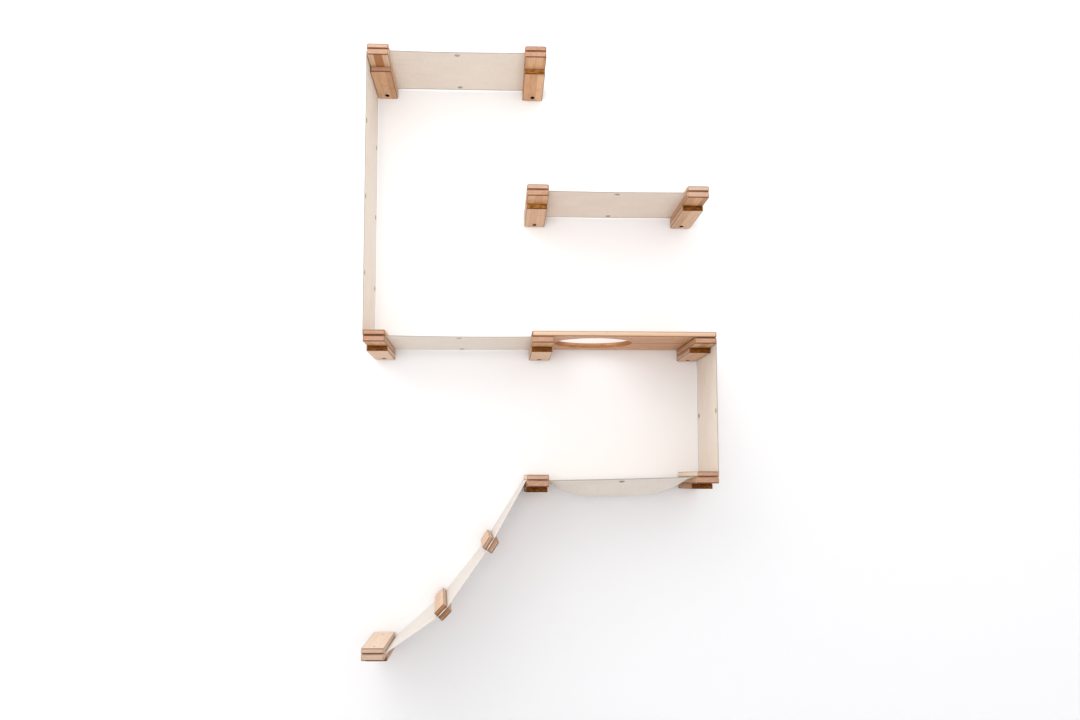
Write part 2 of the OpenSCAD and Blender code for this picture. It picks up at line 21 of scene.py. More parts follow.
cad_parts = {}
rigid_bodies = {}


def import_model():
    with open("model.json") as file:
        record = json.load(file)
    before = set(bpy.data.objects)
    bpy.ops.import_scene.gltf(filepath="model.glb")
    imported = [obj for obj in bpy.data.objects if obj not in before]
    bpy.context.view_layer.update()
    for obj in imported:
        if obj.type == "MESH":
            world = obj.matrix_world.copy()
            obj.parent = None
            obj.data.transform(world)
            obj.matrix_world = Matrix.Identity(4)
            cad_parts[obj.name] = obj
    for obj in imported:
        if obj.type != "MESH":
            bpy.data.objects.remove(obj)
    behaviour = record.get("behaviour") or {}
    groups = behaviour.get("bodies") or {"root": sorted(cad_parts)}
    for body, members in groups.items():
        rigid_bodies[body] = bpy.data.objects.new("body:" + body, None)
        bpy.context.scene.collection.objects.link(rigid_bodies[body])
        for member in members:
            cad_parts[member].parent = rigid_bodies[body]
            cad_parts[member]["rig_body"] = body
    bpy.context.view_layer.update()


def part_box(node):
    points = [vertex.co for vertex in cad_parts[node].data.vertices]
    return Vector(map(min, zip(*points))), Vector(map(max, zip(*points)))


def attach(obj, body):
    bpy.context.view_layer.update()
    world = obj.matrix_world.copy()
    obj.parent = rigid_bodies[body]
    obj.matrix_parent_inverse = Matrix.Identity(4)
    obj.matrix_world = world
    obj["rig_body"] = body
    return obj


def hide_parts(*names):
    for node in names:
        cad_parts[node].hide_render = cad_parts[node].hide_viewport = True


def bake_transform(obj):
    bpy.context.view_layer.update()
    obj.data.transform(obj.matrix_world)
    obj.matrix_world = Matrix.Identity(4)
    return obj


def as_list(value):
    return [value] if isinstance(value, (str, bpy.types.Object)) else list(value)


MM = 0.001
LOG = logging.getLogger("climbing_set")
UPRIGHT = np.eye(3)
END_GRAIN_FROM_TO = (0.45, 0.95)

Array = np.ndarray
Shape = Callable[[Array, Array], Array]
AddNode = Callable[..., bpy.types.NodeSocket]
Sizes = tuple[float, float, float]
# Low and high end of a value, and the share at each
Tone = tuple[float, float, float, float]


class Layer(Enum):
    """A plank's place in its bracket, as its node's name ends."""

    CAP = "cap"
    RAIL = "rail"
    BLOCK = "block"


class Grain(Enum):
    """The axis along which a board's bamboo strips run."""

    X = 0
    Y = 1


class Bracket(Enum):
    """The brackets, by the first part of their nodes' names."""

    TOP_LEFT = "top_left"
    TOP_RIGHT = "top_right"
    SIDE_LEFT = "side_left"
    SIDE_RIGHT = "side_right"
    MIDDLE_LEFT = "middle_left"
    MIDDLE_CENTRE = "middle_centre"
    MIDDLE_RIGHT = "middle_right"
    LOUNGE_LEFT = "lounge_left"
    LOUNGE_RIGHT = "lounge_right"
    RAMP_FOOT = "ramp_foot"

    @property
    def carries_shelf(self) -> bool:
        """Whether the hatch shelf takes the place of this bracket's cap."""
        return self in (Bracket.MIDDLE_CENTRE, Bracket.MIDDLE_RIGHT)

    def node(self, layer: Layer) -> str:
        """Name of one of its planks' CAD nodes."""
        return f"{self.value}_{layer.value}"

    def box(self, layer: Layer) -> tuple[Array, Array]:
        """Lowest and highest corner of one of its planks."""
        return box_of(self.node(layer))


class Held(Enum):
    """How a sheet is held."""

    STRETCHED = "stretched"
    HUNG = "hung"


def box_of(node: str) -> tuple[Array, Array]:
    """Lowest and highest corner of a CAD node, as arrays."""
    low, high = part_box(node)
    return np.array(low), np.array(high)


def smooth_step(low: float, high: float, value: Array) -> Array:
    """0 below low, 1 above high, and 3t^2 - 2t^3 between them."""
    t = np.clip((value - low) / (high - low), 0.0, 1.0)
    return t * t * (3.0 - 2.0 * t)


def distances_along(path: Array) -> Array:
    """Distance of each point of a polyline from its first one."""
    return np.concatenate([[0], np.cumsum(np.linalg.norm(np.diff(path, axis=0), axis=1))])


@dataclass
class Surface:
    """Points and faces of a mesh before it goes to Blender.

    Attributes:
        points: One row of x, y, z for each point.
        quads: Four point numbers for each face, anticlockwise seen from outside.
        polygons: Faces with another number of corners.
        uv: One row of two lengths in metres for each point, or None.
    """

    points: Array
    quads: Array
    polygons: list[Array] = field(default_factory=list)
    uv: Array | None = None

    def placed(self, origin: Array, axes: Array) -> "Surface":
        """Copy with its own axes turned to the rows of axes, and its origin moved to origin."""
        return Surface(self.points @ np.asarray(axes) + origin, self.quads, self.polygons, self.uv)

    @staticmethod
    def joined(surfaces: Sequence["Surface"]) -> "Surface":
        """All surfaces as one, without their UV maps."""
        starts = np.cumsum([0] + [len(s.points) for s in surfaces[:-1]])
        return Surface(
            np.concatenate([s.points for s in surfaces]),
            np.concatenate([s.quads + start for s, start in zip(surfaces, starts)]),
            [p + start for s, start in zip(surfaces, starts) for p in s.polygons],
        )


def grid_quads(rows: int, cols: int, wrap_rows: bool = False, wrap_cols: bool = False) -> Array:
    """Faces of a grid of points, numbered row by row.

    Args:
        rows: Number of rows of points.
        cols: Number of points in a row.
        wrap_rows: Whether the last row joins the first one.
        wrap_cols: Whether each row's last point joins its first one.

    Returns:
        Four point numbers a face, with a normal along row step x column step.
    """
    row, col = np.meshgrid(
        np.arange(rows if wrap_rows else rows - 1), np.arange(cols if wrap_cols else cols - 1), indexing="ij"
    )
    below, right = (row + 1) % rows, (col + 1) % cols
    corners = [row * cols + col, below * cols + col, below * cols + right, row * cols + right]
    return np.stack(corners, -1).reshape(-1, 4)


def thicken(points: Array, quads: Array, up: Array, above: Array, below: Array) -> tuple[Array, Array]:
    """Closed shell from an open sheet: p + up * above and p - up * below, with a wall at each open edge.

    Args:
        points: Points of the sheet's middle surface.
        quads: Its faces.
        up: Unit normal at each point.
        above: How far the upper face lies from each point.
        below: How far the lower face lies from each point.

    Returns:
        The shell's points and faces.
    """
    count = len(points)
    edges = quads[:, [[0, 1], [1, 2], [2, 3], [3, 0]]].reshape(-1, 2)
    code = edges.min(1) * count + edges.max(1)
    _, first, uses = np.unique(code, return_index=True, return_counts=True)
    rim = edges[first[uses == 1]]
    walls = np.stack([rim[:, 1], rim[:, 0], rim[:, 0] + count, rim[:, 1] + count], 1)
    shell = np.concatenate([points + up * above[:, None], points - up * below[:, None]])
    return shell, np.concatenate([quads, quads[:, ::-1] + count, walls])


def revolve(profile: Array, segments: int, closed: bool) -> Surface:
    """Profile turned about Z: (r cos a, r sin a, z) for each (r, z), at equal angles a.

    Args:
        profile: Radius and height, with the outside on the left hand along the profile.
        segments: Number of steps round the axis.
        closed: Whether the profile is a loop; an open one gets a flat face at each end.

    Returns:
        The turned surface.
    """
    angle = np.arange(segments) * 2 * math.pi / segments
    ring = np.stack([np.cos(angle), np.sin(angle)], 1)
    points = np.empty((len(profile), segments, 3))
    points[..., :2] = profile[:, None, :1] * ring[None]
    points[..., 2] = profile[:, None, 1]
    quads = grid_quads(len(profile), segments, wrap_rows=closed, wrap_cols=True)
    last = (len(profile) - 1) * segments
    ends = [] if closed else [np.arange(segments), last + np.arange(segments)[::-1]]
    return Surface(points.reshape(-1, 3), quads, ends)


def linear(hex_colour: str) -> tuple[float, float, float, float]:
    """sRGB hex colour as linear RGBA."""
    srgb = np.array([int(hex_colour[i:i + 2], 16) for i in (1, 3, 5)]) / 255
    return (*np.where(srgb <= 0.04045, srgb / 12.92, ((srgb + 0.055) / 1.055) ** 2.4).tolist(), 1.0)


def add_node(
    tree: bpy.types.NodeTree, kind: str, sockets: dict | Sequence = (), output: int | str = 0,
    **settings: object,
) -> bpy.types.NodeSocket | None:
    """Adds a node.

    Args:
        tree: The material's or world's node tree.
        kind: The node's type name after ShaderNode.
        sockets: Number, hex colour or linked output for each input, in their order or by name or number.
        output: Name of the wanted output, or its number among those in use.
        settings: The node's own properties.

    Returns:
        The wanted output, or None from a node without outputs.
    """
    node = tree.nodes.new(f"ShaderNode{kind}")
    for name, value in settings.items():
        setattr(node, name, value)
    for key, value in sockets.items() if isinstance(sockets, dict) else enumerate(sockets):
        if isinstance(value, bpy.types.NodeSocket):
            tree.links.new(value, node.inputs[key])
        else:
            node.inputs[key].default_value = linear(value) if isinstance(value, str) else value
    if isinstance(output, str):
        return node.outputs[output]
    in_use = [socket for socket in node.outputs if socket.enabled]
    return in_use[output] if in_use else None


def new_tree(name: str) -> tuple[bpy.types.Material, AddNode]:
    """Makes an empty node material.

    Args:
        name: The material's name.

    Returns:
        The material, and add_node for its tree.
    """
    material = bpy.data.materials.new(name)
    material.use_nodes = True
    material.node_tree.nodes.clear()
    return material, partial(add_node, material.node_tree)


def glaze(node: AddNode, ground: object, over: object, value: object, tone: Tone) -> bpy.types.NodeSocket:
    """Colour over on ground, by a share that goes smoothly with value from tone's low end to its high end."""
    share = node("MapRange", [value, *tone], interpolation_type="SMOOTHSTEP")
    return node("Mix", {0: share, 6: ground, 7: over}, data_type="RGBA")


@dataclass(frozen=True)
class Bamboo:
    """Laminated bamboo: flat strips glued side by side and in layers, planed, sanded and oiled.

    The eye gets long fine fibres, strips of unlike tone, a darker ring across each strip where the cane
    had a node, and dotted end grain, under a satin skin. The eased edges and a rim beside them are
    browned, partly by the cutter and partly as painted shade in the seams and on the lower edges, with less
    on the upper edges where light falls. Inside the slanted wall hole the wood is painted near black, as
    painted shade. Ends can be painted darker towards their top, as the shadow of the plank above, and faces
    and ends can be painted paler, as a highlight where they catch the bright surroundings. The pattern is
    solid, so that a strip goes on from a face to the side and the end. It reads each piece's attributes:
    timber, the place across, along and through the board; half, its half size; seed; from where to where
    across it in millimetres a darker strip lies and how dark that is; how pale its faces and ends are
    painted as highlight, and how far the rim browning and painted shade reach its upper edges; how browned
    and painted in shade the eased edge is; end_grain, how square a face is to the grain; bore, the place
    across the axis of the wall hole.

    All lengths are millimetres, and the sizes of a pattern are those across, along and through the board.
    """

    name: str
    strip_width: float = 19.0
    strip_shift: float = 900.0
    layer_thickness: float = 5.1
    layer_key: float = 3.7
    tone_stops: tuple[float, ...] = (0.0, 0.07, 0.3, 0.7)
    pale: str = "#DCB088"
    middle: str = "#CA9464"
    deep: str = "#AC753F"
    smoked: str = "#7A4614"
    # Painted highlight: the pale tone that faces and ends take where they catch the bright surroundings
    highlight_pale: str = "#E6D2BC"
    # Colour of a darker strip across a board
    dark_strip_colour: str = "#A0590A"
    fibre_shade: str = "#6D431F"
    fibre_size: Sizes = (0.9, 42.0, 0.9)
    fibre_tone: Tone = (0.47, 0.72, 0.0, 0.5)
    streak_size: Sizes = (4.2, 150.0, 4.2)
    streak_tone: Tone = (0.35, 0.7, 0.0, 0.55)
    cloud_size: Sizes = (24.0, 60.0, 24.0)
    cloud_tone: Tone = (0.3, 0.7, 0.0, 0.22)
    ring_pitch: float = 265.0
    ring_waver: float = 5.0
    ring_tone: Tone = (0.6, 3.2, 0.42, 0.0)
    seam_tone: Tone = (0.12, 0.5, 0.38, 0.0)
    end_ground: str = "#C6A28C"
    end_bundle: str = "#865636"
    end_dots: float = 0.6
    end_patches: float = 0.25
    # How much darker an end is painted towards its top, as the shadow of the plank above
    end_top_shadow: float = 0.0
    end_strip_share: float = 0.25
    bundle_size: Sizes = (1.5, 40.0, 1.5)
    bundle_edge: tuple[float, float] = (0.18, 0.42)
    patch_size: Sizes = (13.0, 60.0, 4.5)
    patch_edge: tuple[float, float] = (0.42, 0.62)
    # Heights through the board, in millimetres, over which that painted shadow rises to full
    top_shadow_from: float = -2.0
    top_to: float = 5.0
    # Brown of the eased edges and rims: partly the cutter's browning, partly painted shade in the seams and
    # on the lower edges
    burnish_and_shade: str = "#5A2F14"
    rim_from: float = 1.36
    rim_to: float = 3.4
    rim_on_faces: float = 0.65
    rim_on_ends: float = 0.93
    crown_from: float = 3.0
    # Painted shade inside the slanted wall hole: the wood there is painted near black
    bore_shade: str = "#140503"
    bore_shade_from: float = 6.8
    bore_shade_to: float = 4.8
    roughness_tone: Tone = (0.3, 0.75, 0.42, 0.58)
    specular_tone: Tone = (0.0, 1.0, 0.22, 0.04)
    coat_tone: Tone = (0.0, 1.0, 0.12, 0.0)
    coat_roughness: float = 0.24
    fibre_relief: float = 0.5
    seam_relief: float = -0.8
    relief_depth: float = 0.12

    def material(self) -> bpy.types.Material:
        """Makes the finish.

        Returns:
            The node material.
        """
        material, node = new_tree(self.name)
        timber, half, bore, dark_strip, highlight_and_crown = (
            node("Attribute", output="Vector", attribute_name=name)
            for name in ("timber", "half", "bore", "dark_strip", "highlight_and_crown")
        )
        seed, eased, end_share = (
            node("Attribute", output="Fac", attribute_name=name) for name in ("seed", "burnish_and_shade", "end_grain")
        )
        place, half_size = (
            node("VectorMath", {0: vector, "Scale": 1 / MM}, operation="SCALE") for vector in (timber, half)
        )
        across, along, through = node("SeparateXYZ", [place]).node.outputs
        # Faces and ends painted paler as a highlight, and how far rim browning and painted shade reach the
        # upper edges
        pale_faces, pale_ends, crown = node("SeparateXYZ", [highlight_and_crown]).node.outputs

        # Strips and layers, each with its own chances
        layer_place = node("Math", [through, self.layer_thickness], operation="DIVIDE")
        layer = node("Math", [layer_place], operation="FLOOR")
        shift = node("TexWhiteNoise", [node("CombineXYZ", [layer, seed, self.layer_key])])
        in_strips = node("Math", [across, self.strip_width], operation="DIVIDE")
        strip_place = node("Math", [in_strips, shift], operation="ADD")
        strip = node("Math", [strip_place], operation="FLOOR")
        chance = node("TexWhiteNoise", [node("CombineXYZ", [strip, layer, seed])], "Color")
        tone_chance, ring_chance, _ = node("SeparateXYZ", [chance]).node.outputs
        own_shift = node("VectorMath", {0: chance, "Scale": self.strip_shift}, operation="SCALE")
        own_place = node("VectorMath", [place, own_shift], operation="ADD")
        fibre, streak, cloud, patch = (
            node("TexNoise", {
                "Vector": node("VectorMath", [own_place, size], operation="DIVIDE"), "Scale": 1.0,
                "Detail": detail, "Roughness": rough,
            }) for size, detail, rough in (
                (self.fibre_size, 3.0, 0.6), (self.streak_size, 2.0, 0.5), (self.cloud_size, 1.0, 0.5),
                (self.patch_size, 2.0, 0.5),
            )
        )

        # Faces
        tones = node("ValToRGB", [tone_chance])
        knots = tones.node.color_ramp.elements
        for stop, (position, tone) in enumerate(
            zip(self.tone_stops, (self.smoked, self.deep, self.middle, self.pale))
        ):
            knot = knots[stop] if stop < 2 else knots.new(position)
            knot.position = position
            knot.color = linear(tone)
        ring, waver = along, fibre
        for operation, other in (
            ("DIVIDE", self.ring_pitch), ("ADD", ring_chance), ("FRACT", 0.0), ("SUBTRACT", 0.5),
            ("ABSOLUTE", 0.0), ("MULTIPLY", self.ring_pitch),
        ):
            ring = node("Math", [ring, other], operation=operation)
        for operation, other in (("SUBTRACT", 0.5), ("MULTIPLY", self.ring_waver), ("ADD", ring)):
            waver = node("Math", [waver, other], operation=operation)
        ground = tones
        for over, value, tone in (
            (self.middle, streak, self.streak_tone), (self.pale, cloud, self.cloud_tone),
            (self.fibre_shade, fibre, self.fibre_tone), (self.fibre_shade, waver, self.ring_tone),
        ):
            ground = glaze(node, ground, over, value, tone)
        from_seams = []
        for where, pitch in ((strip_place, self.strip_width), (layer_place, self.layer_thickness)):
            from_whole = node("Math", [where, 0.5], operation="PINGPONG")
            from_seams.append(node("Math", [from_whole, pitch], operation="MULTIPLY"))
        seam = node("Math", from_seams, operation="MINIMUM")
        seam_share = node("MapRange", [seam, *self.seam_tone], interpolation_type="SMOOTHSTEP")
        # A darker strip across the board, between the places its attribute gives
        dark_strip_from, dark_strip_to, dark_strip_share = node("SeparateXYZ", [dark_strip]).node.outputs
        for operation, limit in (("GREATER_THAN", dark_strip_from), ("LESS_THAN", dark_strip_to)):
            within = node("Math", [across, limit], operation=operation)
            dark_strip_share = node("Math", [dark_strip_share, within], operation="MULTIPLY")
        # Glue seams, then faces painted paler as a highlight, then the darker strip
        for share, over in (
            (seam_share, self.fibre_shade), (pale_faces, self.highlight_pale), (dark_strip_share, self.dark_strip_colour),
        ):
            ground = node("Mix", {0: share, 6: ground, 7: over}, data_type="RGBA")

        # Ends
        bundle_place = node("VectorMath", [place, self.bundle_size], operation="DIVIDE")
        dots = node("TexVoronoi", {"Vector": bundle_place, "Scale": 1.0}, "Distance")
        ends = glaze(node, self.end_ground, self.end_bundle, dots, (*self.bundle_edge, self.end_dots, 0.0))
        ends = node("Mix", {0: self.end_strip_share, 6: ends, 7: tones}, data_type="RGBA",
                    blend_type="MULTIPLY")
        ends = glaze(node, ends, self.end_bundle, patch, (*self.patch_edge, 0.0, self.end_patches))
        ends = node("Mix", {0: seam_share, 6: ends, 7: self.end_bundle}, data_type="RGBA")
        # Painted shadow of the plank above: ends darker towards their top
        ends = glaze(node, ends, self.end_bundle, through, (self.top_shadow_from, self.top_to, 0.0, self.end_top_shadow))
        # Ends painted paler as a highlight
        ends = node("Mix", {0: pale_ends, 6: ends, 7: self.highlight_pale}, data_type="RGBA")

        # Browned rims, partly the cutter's browning and partly painted shade in the seams and on the lower
        # edges, with less on the upper edges where light falls: a point's distance from the nearest edge is
        # the middle one of its three distances from the board's faces
        spread = node("VectorMath", [place], operation="ABSOLUTE")
        inside = node("VectorMath", [half_size, spread], operation="SUBTRACT")
        a, b, c = node("SeparateXYZ", [inside]).node.outputs
        lesser, greater = (node("Math", [a, b], operation=operation) for operation in ("MINIMUM", "MAXIMUM"))
        second = node("Math", [greater, c], operation="MINIMUM")
        from_edge = node("Math", [lesser, second], operation="MAXIMUM")
        from_bore = node("VectorMath", [bore], operation="LENGTH")
        rim, by_grain, by_height, bored = (
            node("MapRange", values, interpolation_type="SMOOTHSTEP") for values in (
                [from_edge, self.rim_from, self.rim_to, 1.0, 0.0],
                [end_share, 0.0, 1.0, self.rim_on_faces, self.rim_on_ends],
                [through, 0.0, self.crown_from, 1.0, crown],
                [from_bore, self.bore_shade_to * MM, self.bore_shade_from * MM, 1.0, 0.0],
            )
        )
        # Rim browning with its painted shade, scaled down on the upper edges where light falls
        browned = node("Math", [eased, rim], operation="MAXIMUM")
        for share in (by_grain, by_height):
            browned = node("Math", [browned, share], operation="MULTIPLY")
        colour = ground
        # Ends, then the rim browning with its painted shade, then the painted shade inside the wall hole
        for share, over in ((end_share, ends), (browned, self.burnish_and_shade), (bored, self.bore_shade)):
            colour = node("Mix", {0: share, 6: colour, 7: over}, data_type="RGBA")

        # Satin skin, duller on the ends and in the hole
        dull = node("Math", [end_share, bored], operation="MAXIMUM")
        raised = node("Math", [fibre, self.fibre_relief], operation="MULTIPLY")
        relief = node("Math", [seam_share, self.seam_relief, raised], operation="MULTIPLY_ADD")
        roughness, specular, coat = (
            node("MapRange", [value, *tone], interpolation_type="SMOOTHSTEP") for value, tone in (
                (fibre, self.roughness_tone), (dull, self.specular_tone), (dull, self.coat_tone),
            )
        )
        bump = node("Bump", {"Strength": 0.35, "Distance": self.relief_depth * MM, "Height": relief})
        node("OutputMaterial", [node("BsdfPrincipled", {
            "Base Color": colour, "Roughness": roughness, "Normal": bump, "Specular IOR Level": specular,
            "Coat Weight": coat, "Coat Roughness": self.coat_roughness,
        })])
        return material


@dataclass(frozen=True)
class CottonDuck:
    """Undyed cotton duck: a heavy plain weave, washed and pulled tight.

    The eye gets a matt warm cream with thick and thin yarns and a few seed flecks. The hems are a slightly
    deeper tone, painted shade for the light that the doubled cloth lets through less, and a grey line of
    painted shade runs along the folded front edge, with a wider band at the wall edge as the painted shadow
    between cloth and wall. Real yarns lie 0.8 mm apart, too fine to show from across a room, so the weave is
    drawn twice as coarse. It follows each sheet's own UV map, whose unit is a metre, and its hem attribute,
    which is 1 on the hem and rises to 2 at the folded edges, where that painted shade is darkest. All
    lengths are millimetres.
    """

    name: str = "cotton_duck"
    cream: str = "#EAE0D4"
    shade: str = "#DDD1C4"
    # Painted shade along the folded edges, and painted shadow at the wall edge
    fold: str = "#8A7E73"
    fleck: str = "#B79A74"
    yarn_pitch: float = 1.6
    yarn_share: float = 0.1
    slub_width: float = 1.9
    slub_length: float = 46.0
    slub_tone: Tone = (0.8, 1.2, 0.0, 0.5)
    slub_relief: float = 1.6
    cloud_size: Sizes = (90.0, 70.0, 1.0)
    cloud_tone: Tone = (0.35, 0.65, 0.0, 0.3)
    hem_tone: Tone = (0.0, 1.0, 0.0, 0.55)
    fold_shade_tone: Tone = (1.1, 2.0, 0.0, 0.8)
    fleck_pitch: float = 17.0
    fleck_tone: Tone = (0.012, 0.03, 0.5, 0.0)
    relief_depth: float = 0.18

    def material(self) -> bpy.types.Material:
        """Makes the finish.

        Returns:
            The node material.
        """
        material, node = new_tree(self.name)
        cloth = node("UVMap", uv_map="weave")
        place = node("VectorMath", {0: cloth, "Scale": 1 / MM}, operation="SCALE")
        long, wide = self.slub_length, self.slub_width
        warp_slub, weft_slub, cloud = (
            node("TexNoise", {
                "Vector": node("VectorMath", [place, size], operation="DIVIDE"), "Scale": 1.0,
                "Detail": detail,
            }) for size, detail in (
                ((long, wide, 1.0), 2.0), ((wide, long, 1.0), 2.0), (self.cloud_size, 1.0),
            )
        )
        yarns = []
        for length in node("SeparateXYZ", [place]).node.outputs[:2]:
            turn = node("Math", [length, math.pi / self.yarn_pitch], operation="MULTIPLY")
            yarns.append(node("Math", [turn], operation="SINE"))
        weave = node("Math", yarns, operation="MULTIPLY")
        yarn_share = node("Math", [weave, self.yarn_share, self.yarn_share], operation="MULTIPLY_ADD")
        slub = node("Math", [warp_slub, weft_slub], operation="ADD")
        hem = node("Attribute", output="Fac", attribute_name="hem")
        flecks = node("TexVoronoi", {"Vector": place, "Scale": 1 / self.fleck_pitch}, "Distance")
        colour = self.cream
        # The hem's deeper tone and the fold colour near the edges are painted shade
        for over, value, tone in (
            (self.shade, slub, self.slub_tone), (self.shade, cloud, self.cloud_tone),
            (self.shade, hem, self.hem_tone), (self.fold, hem, self.fold_shade_tone),
            (self.fleck, flecks, self.fleck_tone),
        ):
            colour = glaze(node, colour, over, value, tone)
            if value is cloud:
                colour = node("Mix", {0: yarn_share, 6: colour, 7: self.shade}, data_type="RGBA")
        relief = node("Math", [slub, self.slub_relief, weave], operation="MULTIPLY_ADD")
        bump = node("Bump", {"Strength": 0.4, "Distance": self.relief_depth * MM, "Height": relief})
        node("OutputMaterial", [node("BsdfPrincipled", {
            "Base Color": colour, "Roughness": 0.92, "Sheen Weight": 0.15, "Sheen Roughness": 0.6,
            "Specular IOR Level": 0.2, "Normal": bump,
        })])
        return material


@dataclass(frozen=True)
class SewingThread:
    """Spun polyester thread, twisted and waxed: it gives the eye a fine bright dash on the hem.

    Its twist is too fine to draw. A shallow wave makes the stitches uneven.
    """

    name: str = "spun_thread"
    colour: str = "#F4ECE0"
    wave_pitch: float = 7.54 * MM
    wave_depth: float = 0.05 * MM

    def material(self) -> bpy.types.Material:
        """Makes the finish, with a wave that slants through the stitches.

        Returns:
            The node material.
        """
        material, node = new_tree(self.name)
        place = node("TexCoord", output="Object")
        # A diagonal wave of scale 1 repeats after pi / 5 along an axis
        scale = math.pi / 5 / self.wave_pitch
        wave = node("TexWave", {"Vector": place, "Scale": scale}, "Fac", bands_direction="DIAGONAL")
        bump = node("Bump", {"Strength": 0.3, "Distance": self.wave_depth, "Height": wave})
        node("OutputMaterial", [node("BsdfPrincipled", {
            "Base Color": self.colour, "Roughness": 0.6, "Normal": bump,
        })])
        return material


@dataclass(frozen=True)
class PlatedMetal:
    """Plated metal, such as nickel on brass eyelets or bright zinc on steel screws.

    The eye gets a grey satin shine that fine tumbling and handling marks break up.
    """

    name: str
    colour: str
    tarnish: str
    roughness: float
    mark_roughness: float = 0.2
    mark_size: float = 0.9 * MM
    mark_depth: float = 0.05 * MM
    mark_tone: Tone = (0.4, 0.75, 0.0, 0.7)
    mark_range: tuple[float, float] = (0.3, 0.8)

    def material(self) -> bpy.types.Material:
        """Makes the finish, whose marks follow the piece's own place.

        Returns:
            The node material.
        """
        material, node = new_tree(self.name)
        place = node("TexCoord", output="Object")
        marks = node("TexNoise", {"Vector": place, "Scale": 1 / self.mark_size, "Detail": 3.0})
        share = node("MapRange", [marks, *self.mark_tone])
        colour = node("Mix", {0: share, 6: self.colour, 7: self.tarnish}, data_type="RGBA")
        roughest = self.roughness + self.mark_roughness
        rough = node("MapRange", [marks, *self.mark_range, self.roughness, roughest])
        bump = node("Bump", {"Strength": 0.15, "Distance": self.mark_depth, "Height": marks})
        node("OutputMaterial", [node("BsdfPrincipled", {
            "Base Color": colour, "Metallic": 1.0, "Roughness": rough, "Normal": bump,
        })])
        return material


@dataclass(frozen=True)
class PaintedPlaster:
    """Matt white emulsion on plaster, for the studio's wall and floor.

    The eye gets plain white that keeps soft shadows. Seen from behind it is clear, so that it never hides
    the object, and so is what lies within the clearance, so that faces against the wall aren't black.
    """

    name: str
    paint: str
    clearance: float = 1.2 * MM

    def material(self) -> bpy.types.Material:
        """Makes the finish.

        Returns:
            The node material.
        """
        material, node = new_tree(self.name)
        length = node("LightPath", output="Ray Length")
        back = node("NewGeometry", output="Backfacing")
        far = node("Math", [length, self.clearance], operation="GREATER_THAN")
        share = node("Math", [far, back], operation="SUBTRACT", use_clamp=True)
        matt = node("BsdfDiffuse", {"Color": self.paint})
        node("OutputMaterial", [node("MixShader", [share, node("BsdfTransparent"), matt])])
        return material


class Finishes:
    """The materials of the set, made once each."""

    def __init__(self) -> None:
        """Makes every material."""
        self.plank = Bamboo("laminated_bamboo_plank").material()
        # Block ends are painted darker than their own end grain, as the shade under the rail above, and
        # darker still towards the top as its shadow; the amber blocks' ends are painted amber, shade warmed
        # by light off the rail
        self.block = Bamboo(
            "laminated_bamboo_shaded_block", end_ground="#96601F", end_bundle="#45250C", end_dots=0.8,
            end_patches=0.75, end_top_shadow=0.5,
        ).material()
        self.amber_block = Bamboo(
            "laminated_bamboo_amber_block", end_ground="#BA8444", end_bundle="#5E340E", end_patches=0.75,
        ).material()
        self.board = Bamboo(
            "laminated_bamboo_board", pale="#DAA67A", middle="#C48A5A", ring_pitch=310.0,
            streak_size=(4.2, 230.0, 4.2), end_ground="#C08A58",
        ).material()
        self.slat = Bamboo(
            "laminated_bamboo_slat", strip_width=13.0, layer_thickness=4.0, end_ground="#C89C7A",
            end_bundle="#6A432A", end_dots=0.8, end_patches=0.3,
        ).material()
        self.canvas = CottonDuck().material()
        # The ramp's canvas in a darker, greyer cream, painted as shade
        self.shaded_ramp_canvas = CottonDuck("cotton_duck_shaded", cream="#E0D9D2", shade="#D3CAC2").material()
        self.thread = SewingThread().material()
        self.nickel = PlatedMetal("nickel_plated_brass", "#ADA69C", "#5A544D", 0.3).material()
        self.zinc = PlatedMetal("zinc_plated_steel", "#9A9088", "#4E4640", 0.34).material()


def new_mesh(name: str, surface: Surface) -> bpy.types.Mesh:
    """Makes a mesh from a surface, without points that no face uses.

    Args:
        name: The mesh's name.
        surface: The surface.

    Returns:
        The mesh.
    """
    faces = [*surface.quads, *surface.polygons]
    used, numbers = np.unique(np.concatenate(faces), return_inverse=True)
    ends = np.cumsum([len(f) for f in faces])
    mesh = bpy.data.meshes.new(name)
    mesh.from_pydata(surface.points[used].tolist(), [], [f.tolist() for f in np.split(numbers, ends[:-1])])
    if surface.uv is not None:
        layer = mesh.uv_layers.new(name="weave")
        layer.data.foreach_set("uv", surface.uv[used][numbers].astype(np.float32).ravel())
    smooth(mesh)
    return mesh


def smooth(mesh: bpy.types.Mesh, sharp_degrees: float = 40.0) -> None:
    """Shades a mesh smoothly apart from its sharp edges.

    Args:
        mesh: The mesh.
        sharp_degrees: The angle past which an edge is sharp.
    """
    mesh.shade_smooth()
    mesh.set_sharp_from_angle(angle=math.radians(sharp_degrees))
    mesh.update()


def set_attribute(
    mesh: bpy.types.Mesh, name: str, values: Array | Sequence[float] | float, vector: bool = False,
    domain: str = "POINT",
) -> None:
    """Stores a number or a vector for each point or face corner.

    Args:
        mesh: The mesh.
        name: The attribute's name, as the finish reads it.
        values: One number or vector for each, or one for all.
        vector: Whether they are vectors.
        domain: POINT or CORNER.
    """
    kind, member = ("FLOAT_VECTOR", "vector") if vector else ("FLOAT", "value")
    attribute = mesh.attributes.get(name) or mesh.attributes.new(name, kind, domain)
    shape = (len(attribute.data), 3) if vector else (len(attribute.data),)
    attribute.data.foreach_set(member, np.broadcast_to(values, shape).astype(np.float32).ravel())


